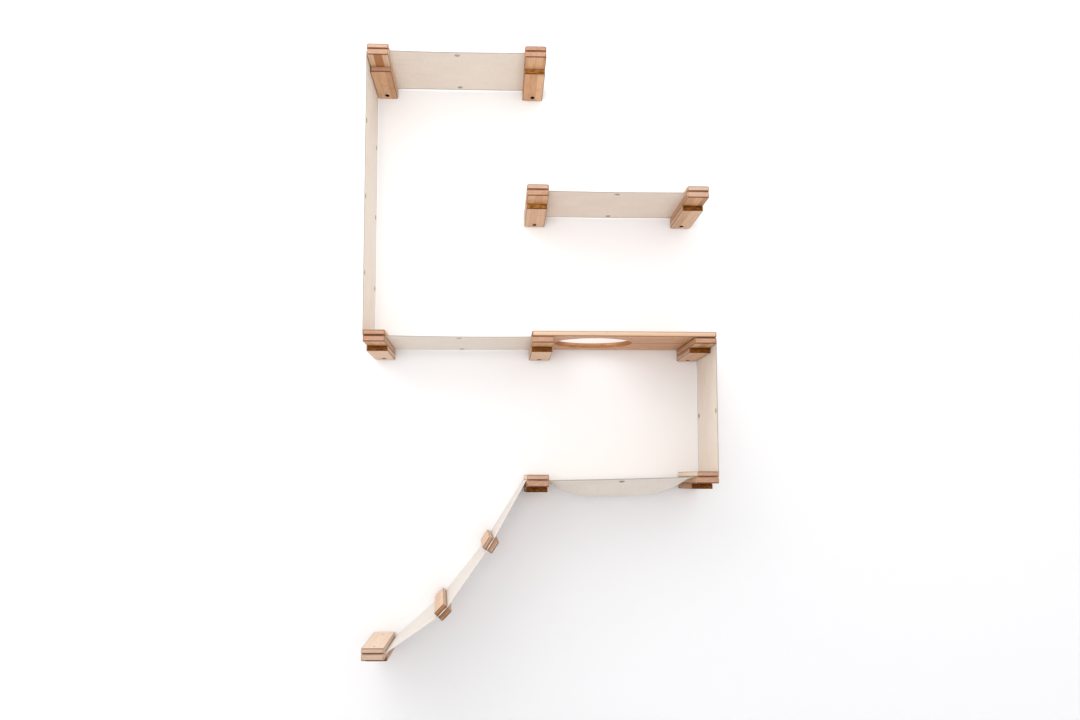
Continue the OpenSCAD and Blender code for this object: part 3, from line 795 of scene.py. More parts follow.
def vectors_of(things: bpy.types.bpy_prop_collection, name: str = "co") -> Array:
    """Reads one vector of each of a mesh's parts.

    Args:
        things: The mesh's vertices or corner normals.
        name: The vector's name.

    Returns:
        One row for each.
    """
    vectors = np.empty(len(things) * 3, np.float32)
    things.foreach_get(name, vectors)
    return vectors.reshape(-1, 3).astype(float)


def add_piece(
    name: str, mesh: bpy.types.Mesh, material: bpy.types.Material, body: str,
    replaced: Iterable[str] = (),
) -> bpy.types.Object:
    """Adds a finished piece, which rides on a body.

    Args:
        name: The piece's name.
        mesh: Its mesh, already in place.
        material: Its finish.
        body: The CAD body that it moves with.
        replaced: The CAD nodes that it stands for.

    Returns:
        The piece.
    """
    mesh.materials.clear()
    mesh.materials.append(material)
    piece = bpy.data.objects.new(name, mesh)
    bpy.context.scene.collection.objects.link(piece)
    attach(piece, body)
    for node in replaced:
        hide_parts(node)
    LOG.info("%s: %d faces on %s", name, len(mesh.polygons), body)
    return piece


def cut(mesh: bpy.types.Mesh, cutters: Sequence[Surface]) -> bpy.types.Mesh:
    """Takes each cutter's space out of a mesh.

    Args:
        mesh: The mesh to cut.
        cutters: Closed surfaces in the mesh's own axes.

    Returns:
        The new mesh.
    """
    scene = bpy.context.scene
    stock = bpy.data.objects.new("stock", mesh)
    scene.collection.objects.link(stock)
    tools = []
    for cutter in cutters:
        tool = bpy.data.objects.new("cutter", new_mesh("cutter", cutter))
        scene.collection.objects.link(tool)
        tools.append(tool)
        step = stock.modifiers.new("cut", "BOOLEAN")
        step.operation = "DIFFERENCE"
        step.solver = "EXACT"
        step.object = tool
    result = bpy.data.meshes.new_from_object(stock.evaluated_get(bpy.context.evaluated_depsgraph_get()))
    for thing in (stock, *tools):
        bpy.data.objects.remove(thing)
    smooth(result)
    return result


def board_outline(width: float, depth: float, radius: float, steps: int = 10) -> tuple[Array, Array]:
    """Plan of a board about its middle, anticlockwise: four arcs, corner + radius * (cos a, sin a).

    Args:
        width: Its size along X.
        depth: Its size along Y.
        radius: Radius of its corners.
        steps: Number of steps in each arc.

    Returns:
        Points and outward normals.
    """
    sweep = np.linspace(0, math.pi / 2, steps + 1)
    angle = (np.arange(4)[:, None] * math.pi / 2 + sweep[None]).ravel()
    normals = np.stack([np.cos(angle), np.sin(angle)], 1)
    corners = np.array([[1, 1], [-1, 1], [-1, -1], [1, -1]]) * (np.array([width, depth]) / 2 - radius)
    return np.repeat(corners, steps + 1, 0) + normals * radius, normals


def eased_edge(thick: float, top_radius: float, bottom_radius: float, steps: int = 5) -> Array:
    """Section of a board's rim, from its top face down: a quarter round, the side and a quarter round.

    Args:
        thick: The board's thickness.
        top_radius: Radius of its upper edge.
        bottom_radius: Radius of its lower edge.
        steps: Number of steps in each round.

    Returns:
        Inset from the outline and height above the middle, for each step.
    """
    angle = np.linspace(0, math.pi / 2, steps + 1)
    top = [top_radius * (1 - np.sin(angle)), thick / 2 - top_radius * (1 - np.cos(angle))]
    bottom = [bottom_radius * (1 - np.cos(angle)), -thick / 2 + bottom_radius * (1 - np.sin(angle))]
    return np.concatenate([np.stack(top, 1), np.stack(bottom, 1)])


def board(size: Array, corner_radius: float, top_radius: float, bottom_radius: float) -> Surface:
    """Board about its middle: outline - normal * inset, at each height of its eased edge.

    Args:
        size: Its sizes along X, Y and Z.
        corner_radius: Radius of its outline's corners.
        top_radius: Radius of its upper edge.
        bottom_radius: Radius of its lower edge.

    Returns:
        Its surface.
    """
    outline, normals = board_outline(size[0], size[1], corner_radius)
    section = eased_edge(size[2], top_radius, bottom_radius)
    points = np.empty((len(section), len(outline), 3))
    points[..., :2] = outline[None] - normals[None] * section[:, None, :1]
    points[..., 2] = section[:, None, 1]
    count = len(outline)
    faces = [np.arange(count), (len(section) - 1) * count + np.arange(count)[::-1]]
    return Surface(points.reshape(-1, 3), grid_quads(len(section), count, wrap_cols=True), faces)


def mark_timber(mesh: bpy.types.Mesh, grain: Grain, corner_radius: float, edge_radius: float) -> Array:
    """Marks a board about its own middle for the bamboo finish.

    Its attributes are where each point lies in the timber, the board's half size, a place far from any
    wall hole, how browned and painted in shade the eased edge is there, from 1 - |a - b| / r with a and b
    the distances from its face and from its outline, and how square each face corner is to the grain.

    Args:
        mesh: The board.
        grain: Which way its strips run.
        corner_radius: Radius of its outline's corners.
        edge_radius: Radius r of its eased edges.

    Returns:
        How browned and painted in shade each point is.
    """
    order = [1, 0, 2] if grain is Grain.X else [0, 1, 2]
    points = vectors_of(mesh.vertices)
    half = np.abs(points).max(0)
    for name, values in (("timber", points[:, order]), ("half", half[order]), ("bore", np.ones(3))):
        set_attribute(mesh, name, values, vector=True)
    beyond = np.abs(points[:, :2]) - (half[:2] - corner_radius)
    past_corner = np.linalg.norm(np.maximum(beyond, 0), axis=1)
    from_outline = corner_radius - past_corner - np.minimum(beyond.max(1), 0)
    from_face = half[2] - np.abs(points[:, 2])
    burnish_and_shade = np.clip(1 - np.abs(from_face - from_outline) / edge_radius, 0, 1)
    set_attribute(mesh, "burnish_and_shade", burnish_and_shade)
    square = np.abs(vectors_of(mesh.corner_normals, "vector")[:, grain.value])
    set_attribute(mesh, "end_grain", smooth_step(*END_GRAIN_FROM_TO, square), domain="CORNER")
    return burnish_and_shade


@dataclass(frozen=True)
class Look:
    """How one board differs from its neighbours.

    Attributes:
        faces: How pale its faces are painted, as a highlight, from 0 to 1, for the whole board or each point.
        ends: How pale its ends are painted, as a highlight.
        crown: How far the rim browning and its painted shade reach its upper edges.
        dark_strip: From where to where across it a darker strip lies, in millimetres, and how dark it is.
    """

    faces: float | Array = 0.0
    ends: float = 0.0
    crown: float = 0.25
    dark_strip: tuple[float, float, float] = (0.0, 0.0, 0.0)

    def mark(self, mesh: bpy.types.Mesh, seed: float) -> None:
        """Gives a board this look and its own draw of strips.

        Args:
            mesh: The board.
            seed: What its strips are drawn from.
        """
        faces = np.broadcast_to(self.faces, len(mesh.vertices))
        set_attribute(mesh, "seed", seed)
        set_attribute(mesh, "dark_strip", self.dark_strip, vector=True)
        highlight_and_crown = np.stack(np.broadcast_arrays(faces, self.ends, self.crown), 1)
        set_attribute(mesh, "highlight_and_crown", highlight_and_crown, vector=True)


@dataclass
class Screws:
    """Countersunk screws with a cross recess, as large as their CAD solids."""

    finishes: Finishes
    shank_d: float = 4.0 * MM
    head_d: float = 8.0 * MM
    head_h: float = 2.4 * MM
    head_edge: float = 0.2 * MM
    tip_d: float = 1.2 * MM
    point: float = 4.0 * MM
    hole_play: float = 0.25 * MM
    hole_headroom: float = 2.0 * MM
    recess_width: float = 1.2 * MM
    recess_reach: float = 2.3 * MM
    recess_depth: float = 1.3 * MM
    recess_lean: tuple[float, float] = (0.15 * MM, 0.2 * MM)
    recess_end: float = 0.4 * MM
    inner_ring: float = 0.15 * MM
    rings: int = 14
    segments: int = 48

    def surface(self, length: float) -> Surface:
        """One screw, its head's top at the origin and its shank along -Z.

        The head is the disc (r, a) with the height -depth * arm, where arm falls from 1 to 0 at the sides
        and the ends of the two crossed arms.

        Args:
            length: The screw's length.

        Returns:
            Its surface.
        """
        radii = np.linspace(self.inner_ring, self.head_d / 2 - self.head_edge, self.rings)
        profile = np.concatenate([
            np.stack([radii, np.zeros(self.rings)], 1),
            [[self.head_d / 2, -self.head_edge], [self.shank_d / 2, -self.head_h],
             [self.shank_d / 2, self.point - length], [self.tip_d / 2, -length]],
        ])
        made = revolve(profile, self.segments, closed=False)
        x, y = np.abs(made.points[:, :2]).T
        side, end = self.recess_width / 2, self.recess_reach
        arm = 1 - smooth_step(side - self.recess_lean[0], side + self.recess_lean[1], np.minimum(x, y))
        arm *= 1 - smooth_step(end - self.recess_end, end, np.maximum(x, y))
        head = slice(0, self.rings * self.segments)
        made.points[head, 2] -= self.recess_depth * arm[head]
        return made

    def holes(self, length: float, places: Iterable[Array], axes: Array = UPRIGHT) -> list[Surface]:
        """What screws with their heads at these places take out of the boards that they join.

        Args:
            length: The screws' length.
            places: Middle of each head's top.
            axes: The screws' axes as rows, the last one out of the head.

        Returns:
            A closed surface for each screw.
        """
        head, shank = self.head_d / 2 + self.hole_play, self.shank_d / 2 + self.hole_play
        profile = np.array([[head, self.hole_headroom], [head, 0.0], [shank, -self.head_h], [shank, -length]])
        hole = revolve(profile, self.segments, closed=False)
        return [hole.placed(place, axes) for place in places]

    def drive(
        self, node: str, body: str, length: float, places: Iterable[Array], axes: Array = UPRIGHT
    ) -> None:
        """Makes the screws of one CAD node.

        Args:
            node: The node, from which the piece's name is made.
            body: The CAD body that they ride on.
            length: The screws' length.
            places: Middle of each head's top.
            axes: The screws' axes as rows, the last one out of the head.
        """
        screw = self.surface(length)
        driven = Surface.joined([screw.placed(place, axes) for place in places])
        add_piece(f"{node}_driven", new_mesh(node, driven), self.finishes.zinc, body, [node])


@dataclass
class Brackets:
    """Ten wall brackets: a rail and a set-back block with a slanted wall hole, and on eight a screwed cap."""

    finishes: Finishes
    screws: Screws
    corner_radius: float = 6.0 * MM
    edge_radius: float = 2.0 * MM
    wall_hole_d: float = 8.3 * MM
    wall_hole_inset: float = 26.0 * MM
    wall_hole_rise: float = math.radians(35.0)
    screw_length: float = 25.0 * MM
    screw_front_inset: float = 30.0 * MM
    screw_wall_inset: float = 44.0 * MM
    cap_crown: float = 0.75
    block_finishes: dict[Bracket, str] = field(default_factory=lambda: {
        Bracket.TOP_LEFT: "plank", Bracket.TOP_RIGHT: "amber_block", Bracket.SIDE_LEFT: "amber_block",
    })
    seeds: dict[Layer, int] = field(default_factory=lambda: {Layer.CAP: 11, Layer.RAIL: 40, Layer.BLOCK: 70})
    seed_moves: dict[str, int] = field(default_factory=lambda: {"top_left_block": 30})
    # Faces and ends painted paler as a highlight; on the two middle rails the rim browning reaches the whole
    # upper rim as painted shade
    looks: dict[str, Look] = field(default_factory=lambda: {
        "top_left_cap": Look(ends=0.25),
        "top_left_rail": Look(dark_strip=(-11.5, 10.5, 0.8), faces=0.35, ends=0.1),
        "top_left_block": Look(faces=0.05),
        "side_left_cap": Look(ends=0.2),
        "side_left_block": Look(faces=0.15),
        "side_right_cap": Look(ends=0.35),
        "side_right_rail": Look(ends=0.2),
        "side_right_block": Look(faces=0.2),
        "middle_left_rail": Look(crown=1.0),
        "middle_left_block": Look(faces=0.25),
        "middle_centre_block": Look(faces=0.2),
        "middle_right_rail": Look(crown=1.0),
        "middle_right_block": Look(faces=0.15),
        "lounge_left_cap": Look(faces=0.5, ends=0.15),
        "lounge_right_cap": Look(faces=0.95, ends=0.05),
        "ramp_foot_cap": Look(faces=0.65, ends=0.4),
        "ramp_foot_rail": Look(faces=0.2, ends=0.4),
    })

    def screw_places(self, bracket: Bracket, top: float) -> Array:
        """Middle of each screw head of one bracket, with its top at the height top."""
        (left, front, _), (right, wall, _) = bracket.box(Layer.RAIL)
        return np.array([[(left + right) / 2, y, top]
                         for y in (front + self.screw_front_inset, wall - self.screw_wall_inset)])

    def wall_hole(self, mouth: Array, along: Array) -> Surface:
        """Slanted cylinder through rail and block.

        Args:
            mouth: Middle of its lower mouth, in the block's underside.
            along: Unit vector along its axis, up into the wall.

        Returns:
            The space that it takes out of them.
        """
        radius, spare = self.wall_hole_d / 2, self.wall_hole_d * 2
        profile = np.array([[radius, self.wall_hole_inset / along[1] + spare], [radius, -spare]])
        side = np.array([1.0, 0.0, 0.0])
        axes = np.stack([side, np.cross(along, side), along])
        return revolve(profile, self.screws.segments, closed=False).placed(mouth, axes)

    def prototype(self, layer: Layer) -> bpy.types.Mesh:
        """Makes a plank of the first bracket, cut and marked, about its own middle.

        Args:
            layer: The plank's place in its bracket.

        Returns:
            Its mesh.
        """
        bracket = Bracket.TOP_LEFT
        low, high = bracket.box(layer)
        middle = (low + high) / 2
        along = np.array([0.0, math.cos(self.wall_hole_rise), math.sin(self.wall_hole_rise)])
        mouth = np.array([middle[0], -self.wall_hole_inset, bracket.box(Layer.BLOCK)[0][2]]) - middle
        cutters = [] if layer is Layer.CAP else [self.wall_hole(mouth, along)]
        if layer is not Layer.BLOCK:
            places = self.screw_places(bracket, bracket.box(Layer.CAP)[1][2]) - middle
            cutters += self.screws.holes(self.screw_length, places)
        stock = board(high - low, self.corner_radius, self.edge_radius, self.edge_radius)
        made = cut(new_mesh(layer.value, stock), cutters)
        mark_timber(made, Grain.Y, self.corner_radius, self.edge_radius)
        if layer is not Layer.CAP:
            offset = vectors_of(made.vertices) - mouth
            set_attribute(made, "bore", offset - (offset @ along)[:, None] * along, vector=True)
        return made

    def finish_of(self, layer: Layer, bracket: Bracket) -> bpy.types.Material:
        """Dark or amber end grain, partly painted shade under the rail above, for most blocks, and plain
        planks for the rest.
        """
        name = self.block_finishes.get(bracket, "block") if layer is Layer.BLOCK else "plank"
        return getattr(self.finishes, name)

    def build(self) -> None:
        """Makes every plank and the screws of the caps."""
        capped = [bracket for bracket in Bracket if not bracket.carries_shelf]
        for layer in Layer:
            prototype = self.prototype(layer)
            for number, bracket in enumerate(Bracket):
                if layer is Layer.CAP and bracket not in capped:
                    continue
                low, high = bracket.box(layer)
                node = bracket.node(layer)
                mesh = prototype.copy()
                mesh.transform(Matrix.Translation((low + high) / 2))
                look = self.looks.get(node, Look())
                if layer is Layer.CAP:
                    look = replace(look, crown=self.cap_crown)
                look.mark(mesh, self.seeds[layer] + number + self.seed_moves.get(node, 0))
                finish = self.finish_of(layer, bracket)
                add_piece(f"{node}_plank", mesh, finish, "root", [node])
        places = [self.screw_places(bracket, bracket.box(Layer.CAP)[1][2]) for bracket in capped]
        self.screws.drive("cap_screws", "root", self.screw_length, np.concatenate(places))


@dataclass
class HatchShelf:
    """Board across the two middle right brackets, with a round escape hatch."""

    finishes: Finishes
    screws: Screws
    brackets: Brackets
    hatch_d: float = 200.0 * MM
    hatch_x: float = 135.0 * MM
    hatch_ease: float = 1.5 * MM
    hatch_burnish: float = 0.35
    edge_paleness: float = 0.45
    edge_fade: float = 1.6 * MM
    turns: int = 144
    seed: int = 105

    def surface(self) -> Surface:
        """The board about its own middle, as rings of points at equal angles about the hatch.

        Each ray from the hatch's middle meets the board's outline at one point and the hatch at another,
        and the rings run down the outline's eased edge and up the hatch's.

        Returns:
            The board's surface.
        """
        low, high = box_of("hatch_shelf")
        size, middle = high - low, (high + low) / 2
        outline, normals = board_outline(size[0], size[1], self.brackets.corner_radius)
        hatch = np.array([self.hatch_x - middle[0], 0.0])
        bearing = np.unwrap(np.arctan2(*(outline - hatch).T[::-1]))
        even = bearing[0] + np.arange(self.turns) * 2 * math.pi / self.turns
        rays = np.unique(np.concatenate([bearing, even]))
        start = np.searchsorted(bearing, rays, side="right") - 1
        end = (start + 1) % len(outline)
        ray = np.stack([np.cos(rays), np.sin(rays)], 1)
        a, run = outline[start] - hatch, outline[end] - outline[start]
        share = (a[:, 0] * ray[:, 1] - a[:, 1] * ray[:, 0]) / (run[:, 1] * ray[:, 0] - run[:, 0] * ray[:, 1])
        share = share[:, None]
        outer = outline[start] + run * share
        outward = normals[start] * (1 - share) + normals[end] * share
        outward /= np.linalg.norm(outward, axis=1, keepdims=True)
        rim = eased_edge(size[2], self.brackets.edge_radius, self.brackets.edge_radius)
        lip = eased_edge(size[2], self.hatch_ease, self.hatch_ease)[::-1]
        plan = np.concatenate([
            outer - outward * rim[:, None, :1], hatch + ray * (self.hatch_d / 2 + lip[:, None, :1]),
        ])
        heights = np.concatenate([rim, lip])[:, None, 1] + np.zeros(len(rays))
        points = np.dstack([plan, heights])
        quads = grid_quads(len(points), len(rays), wrap_rows=True, wrap_cols=True)
        return Surface(points.reshape(-1, 3), quads)

    def build(self) -> None:
        """Makes the shelf and its screws."""
        low, high = box_of("hatch_shelf")
        middle = (low + high) / 2
        brackets, length = self.brackets, self.brackets.screw_length
        places = np.concatenate([
            brackets.screw_places(bracket, high[2]) for bracket in Bracket if bracket.carries_shelf
        ])
        mesh = cut(new_mesh("hatch_shelf_board", self.surface()), self.screws.holes(length, places - middle))
        burnish_and_shade = mark_timber(mesh, Grain.X, brackets.corner_radius, brackets.edge_radius)
        points = vectors_of(mesh.vertices)
        half_depth = (high[1] - low[1]) / 2
        # Faces painted paler near the shelf's front and back edges, as a highlight
        edge = smooth_step(half_depth - self.edge_fade, half_depth, np.abs(points[:, 1]))
        Look(faces=self.edge_paleness * edge, crown=brackets.cap_crown).mark(mesh, self.seed)
        from_hatch = np.hypot(points[:, 0] + middle[0] - self.hatch_x, points[:, 1])
        lipped = from_hatch < self.hatch_d / 2 + self.hatch_ease
        set_attribute(mesh, "burnish_and_shade", np.where(lipped, self.hatch_burnish, burnish_and_shade))
        mesh.transform(Matrix.Translation(middle))
        add_piece("hatch_shelf_board", mesh, self.finishes.board, "root", ["hatch_shelf"])
        self.screws.drive("shelf_screws", "root", length, places)


@dataclass
class Eyelet:
    """Two-part eyelet: a rolled flange on one face of the cloth and a washer on the other."""

    hole_d: float = 6.4 * MM
    outer_d: float = 14.0 * MM
    wall: float = 0.8 * MM
    rim_height: float = 1.1 * MM
    rim_fullness: float = 0.8
    under_inset: float = 0.4 * MM
    press: float = 0.05 * MM
    segments: int = 40
    arc_steps: int = 9

    def surface(self, cloth_thick: float) -> Surface:
        """One eyelet about the cloth's middle, its axis along Z.

        Its section is a loop: up the bore, over a round a little fuller than half an ellipse to the outer
        edge, back under it to the barrel, down through the cloth and the same for the washer.

        Args:
            cloth_thick: Thickness of the cloth in it.

        Returns:
            Its surface.
        """
        bore, barrel, outer = self.hole_d / 2, self.hole_d / 2 + self.wall, self.outer_d / 2
        half, pressed = cloth_thick / 2, cloth_thick / 2 - self.press
        angle = np.linspace(math.pi, 0, self.arc_steps)
        crown = (bore + outer) / 2
        curl = np.stack([
            crown + (outer - bore) / 2 * np.cos(angle),
            half + self.rim_height * np.sin(angle) ** self.rim_fullness,
        ], 1)
        upper = np.concatenate([curl, [[outer - self.under_inset, pressed], [barrel, pressed]]])
        section = np.concatenate([upper, upper[::-1] * [1, -1]])
        return revolve(section, self.segments, closed=True)


@dataclass
class Canvas:
    """A hemmed sheet of cotton duck with stitched hems and eyelets.

    Attributes:
        name: Name of its CAD node, from which its pieces' names are made.
        length: Length along the cloth, from one clamped end to the other.
        width: Width across it, from the front edge to the wall edge.
        shape: Place of the middle surface at distances s along and t across.
        sewn: The stretch of the length on which the hems' stitches show.
        rests_on: The CAD nodes that carry it; not used.
        eyelets: Distances along and across of each eyelet.
        eyelet_nodes: For each eyelet, the CAD node that holds it.
        replaced: The CAD nodes that the cloth stands for, or None for its own.
        ramp_shade: Whether the cloth takes a darker, greyer cream, painted as shade for the ramp's canvas.
        roll: How much the folded edge swells past each face of the cloth.
        fold_shade: How dark the painted shade along the front fold and the painted shadow along the wall edge
            are, from 0 to 1.
        hole_ring: Half the square of grid cells that each eyelet's hole takes the place of.
        hole_blend: Half the square in which the grid bends round the hole.
    """

    finishes: Finishes
    name: str
    body: str
    length: float
    width: float
    shape: Shape
    sewn: tuple[float, float]
    rests_on: list[str]
    held: Held = Held.STRETCHED
    eyelets: list[tuple[float, float]] = field(default_factory=list)
    eyelet_nodes: list[str] = field(default_factory=list)
    replaced: list[str] | None = None
    ramp_shade: bool = False
    thick: float = 0.9 * MM
    hem_extra: float = 0.5 * MM
    hem: float = 15.0 * MM
    hem_slope: float = 1.2 * MM
    roll: float = 0.0
    roll_width: float = 1.1 * MM
    roll_lines: int = 4
    # Widths of the painted shade along the front fold and of the painted shadow along the wall edge
    front_shade_width: float = 3.5 * MM
    wall_shadow_width: float = 9.0 * MM
    fold_shade: float = 1.0
    pitch: float = 4.5 * MM
    hole_ring: float = 3.0 * MM
    hole_blend: float = 9.0 * MM
    hole_r: float = 4.2 * MM
    stitch_length: float = 3.4 * MM
    stitch_pitch: float = 4.6 * MM
    stitch_inset: float = 2.5 * MM
    stitch_sides: int = 6
    thread_d: float = 0.7 * MM

    def lines(self, span: float, centres: Sequence[float], extra: Sequence[float]) -> Array:
        """Grid lines from 0 to span, evenly spaced apart from those that frame each eyelet and hem.

        Args:
            span: The cloth's length or width.
            centres: The eyelets' places on it, which get lines at thirds of the blend on both sides.
            extra: Places that get a line of their own.

        Returns:
            The lines' places in order.
        """
        even = np.linspace(0, span, max(3, round(span / self.pitch) + 1))
        ring = np.arange(-3, 4) / 3 * self.hole_blend
        fixed = np.array(sorted({*extra, *(c + r for c in set(centres) for r in ring)}))
        if len(fixed):
            inside = np.any([np.abs(even - c) < self.hole_blend for c in centres], axis=0)
            clear = np.abs(even[:, None] - fixed[None]).min(1) > self.pitch / 3
            keep = (clear & ~inside) | (even == 0) | (even == span)
            even = np.concatenate([even[keep], fixed])
        return np.unique(np.round(even, 7))

    def frames(self, s: Array, t: Array, step: float = 0.5 * MM) -> tuple[Array, Array, Array]:
        """Finds the cloth's own axes, from central differences.

        Args:
            s: Distance along the cloth.
            t: Distance across it.
            step: Half the distance of each difference.

        Returns:
            Unit vectors along and across it and square to it.
        """
        along = self.shape(s + step, t) - self.shape(s - step, t)
        across = self.shape(s, t + step) - self.shape(s, t - step)
        up = np.cross(along, across)
        along, up = (v / np.linalg.norm(v, axis=-1, keepdims=True) for v in (along, up))
        return along, np.cross(up, along), up

    def from_edge(self, t: Array) -> Array:
        """Distance from the nearer folded edge."""
        return np.minimum(t, self.width - t)

    def hem_share(self, t: Array) -> Array:
        """1 on the doubled hems and 0 between them."""
        return 1 - smooth_step(self.hem - self.hem_slope, self.hem + self.hem_slope, self.from_edge(t))

    def edge_roll(self, s: Array, t: Array) -> Array:
        """Swelling of the folded edges: a half sine across them, outside the clamps.

        Args:
            s: Distance along the cloth.
            t: Distance across it.

        Returns:
            How far each face lies further out.
        """
        edge = np.clip(self.from_edge(t) / self.roll_width, 0, 1)
        free = smooth_step(self.sewn[0] - self.stitch_pitch, self.sewn[0], s)
        free = free * (1 - smooth_step(self.sewn[1], self.sewn[1] + self.stitch_pitch, s))
        return self.roll * np.sin(math.pi * edge) * free

    def cloth(self) -> tuple[Surface, Array]:
        """Makes the sheet, whose grid is drawn into a circle round each eyelet.

        Inside the blend a point moves from its square about the eyelet, of half size q, towards the
        circle of radius q hole_r / hole_ring, and it does so wholly on the ring.

        Returns:
            The sheet, and its hem attribute at each point.
        """
        hem_lines = [self.hem + k * self.hem_slope for k in (-1, 0, 1)]
        if self.roll:
            hem_lines += [self.roll_width * k / self.roll_lines for k in range(1, self.roll_lines + 1)]
        far_lines = [self.width - line for line in hem_lines]
        s_lines = self.lines(self.length, [e[0] for e in self.eyelets], [])
        t_lines = self.lines(self.width, [e[1] for e in self.eyelets],
                             [*hem_lines, self.front_shade_width, *far_lines, self.width - self.wall_shadow_width])
        s, t = (a.ravel() for a in np.meshgrid(s_lines, t_lines, indexing="ij"))
        quads = grid_quads(len(s_lines), len(t_lines))
        moved_s, moved_t = s.copy(), t.copy()
        for centre_s, centre_t in self.eyelets:
            ds, dt = s - centre_s, t - centre_t
            square = np.maximum(np.abs(ds), np.abs(dt))
            radius = np.maximum(np.hypot(ds, dt), 1e-9)
            blend = np.clip((self.hole_blend - square) / (self.hole_blend - self.hole_ring), 0, 1)
            factor = 1 - blend + blend * square / radius * self.hole_r / self.hole_ring
            moved_s += ds * (factor - 1)
            moved_t += dt * (factor - 1)
            hole = np.maximum(np.abs(ds[quads].mean(1)), np.abs(dt[quads].mean(1))) < self.hole_ring
            quads = quads[~hole]
        up = self.frames(moved_s, moved_t)[2]
        hem = self.hem_share(moved_t)
        half = self.thick / 2 + self.edge_roll(moved_s, moved_t)
        points, faces = thicken(self.shape(moved_s, moved_t), quads, up, half, half + self.hem_extra * hem)
        uv = np.stack([moved_s, moved_t], 1)
        # Painted shade along the front fold and painted shadow along the wall edge, added to the hem
        # attribute
        folded = np.clip(1 - moved_t / self.front_shade_width, 0, 1)
        folded += np.clip(1 - (self.width - moved_t) / self.wall_shadow_width, 0, 1)
        return Surface(points, faces, uv=np.concatenate([uv, uv])), np.tile(hem + self.fold_shade * folded, 2)

    def stitching(self) -> Surface:
        """Makes a capsule for each stitch, in a row along both hems and on both faces.

        Returns:
            All of them.
        """
        turn = np.arange(self.stitch_sides) * 2 * math.pi / self.stitch_sides
        # Share of a stitch's length, and of its thread's radius there
        swell = np.array([[0.0, 0.25], [0.12, 0.85], [0.5, 1.0], [0.88, 0.85], [1.0, 0.25]])
        radius = swell[:, 1:] * self.thread_d / 2
        run = (swell[:, :1] - 0.5) * self.stitch_length
        template = np.stack(np.broadcast_arrays(run, radius * np.cos(turn), radius * np.sin(turn)), -1)
        template = template.reshape(-1, 3)
        start, end = (place + self.stitch_pitch / 2 * way for place, way in zip(self.sewn, (1, -1)))
        stations = np.arange(start, end, self.stitch_pitch)
        inset = self.hem - self.stitch_inset
        s, t = (a.ravel() for a in np.meshgrid(stations, [inset, self.width - inset], indexing="ij"))
        axes, centres = np.stack(self.frames(s, t), 1), self.shape(s, t)
        points = np.concatenate([
            (centres + axes[:, 2] * lift)[:, None] + template @ axes
            for lift in (self.thick / 2, -self.thick / 2 - self.hem_extra)
        ])
        starts = np.arange(len(points))[:, None, None] * len(template)
        quads = starts + grid_quads(len(swell), self.stitch_sides, wrap_cols=True)[:, ::-1]
        last = len(template) - self.stitch_sides
        caps = starts + np.stack([np.arange(self.stitch_sides), np.arange(self.stitch_sides)[::-1] + last])
        return Surface(points.reshape(-1, 3), quads.reshape(-1, 4), list(caps.reshape(-1, self.stitch_sides)))

    def rings(self, node: str) -> Surface:
        """Places the eyelets of one CAD node, each square to the cloth under it.

        Args:
            node: The node.

        Returns:
            All of them.
        """
        places = np.array([e for e, n in zip(self.eyelets, self.eyelet_nodes) if n == node]).T
        one = Eyelet().surface(self.thick)
        axes = np.stack(self.frames(*places), 1)
        return Surface.joined([one.placed(c, a) for c, a in zip(self.shape(*places), axes)])

    def build(self) -> bpy.types.Object:
        """Makes the sheet, its stitches and its eyelets.

        Returns:
            The sheet.
        """
        surface, hem = self.cloth()
        mesh = new_mesh(f"{self.name}_cloth", surface)
        set_attribute(mesh, "hem", hem[np.unique(surface.quads)])
        finish = self.finishes.shaded_ramp_canvas if self.ramp_shade else self.finishes.canvas
        replaced = [self.name] if self.replaced is None else self.replaced
        piece = add_piece(f"{self.name}_cloth", mesh, finish, self.body, replaced)
        on_it = [add_piece(f"{self.name}_stitching", new_mesh("stitching", self.stitching()),
                           self.finishes.thread, self.body)]
        for node in dict.fromkeys(self.eyelet_nodes):
            on_it.append(add_piece(f"{node}_pressed", new_mesh(node, self.rings(node)), self.finishes.nickel,
                                   self.body, [node]))
        self.width
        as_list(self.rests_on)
        return piece


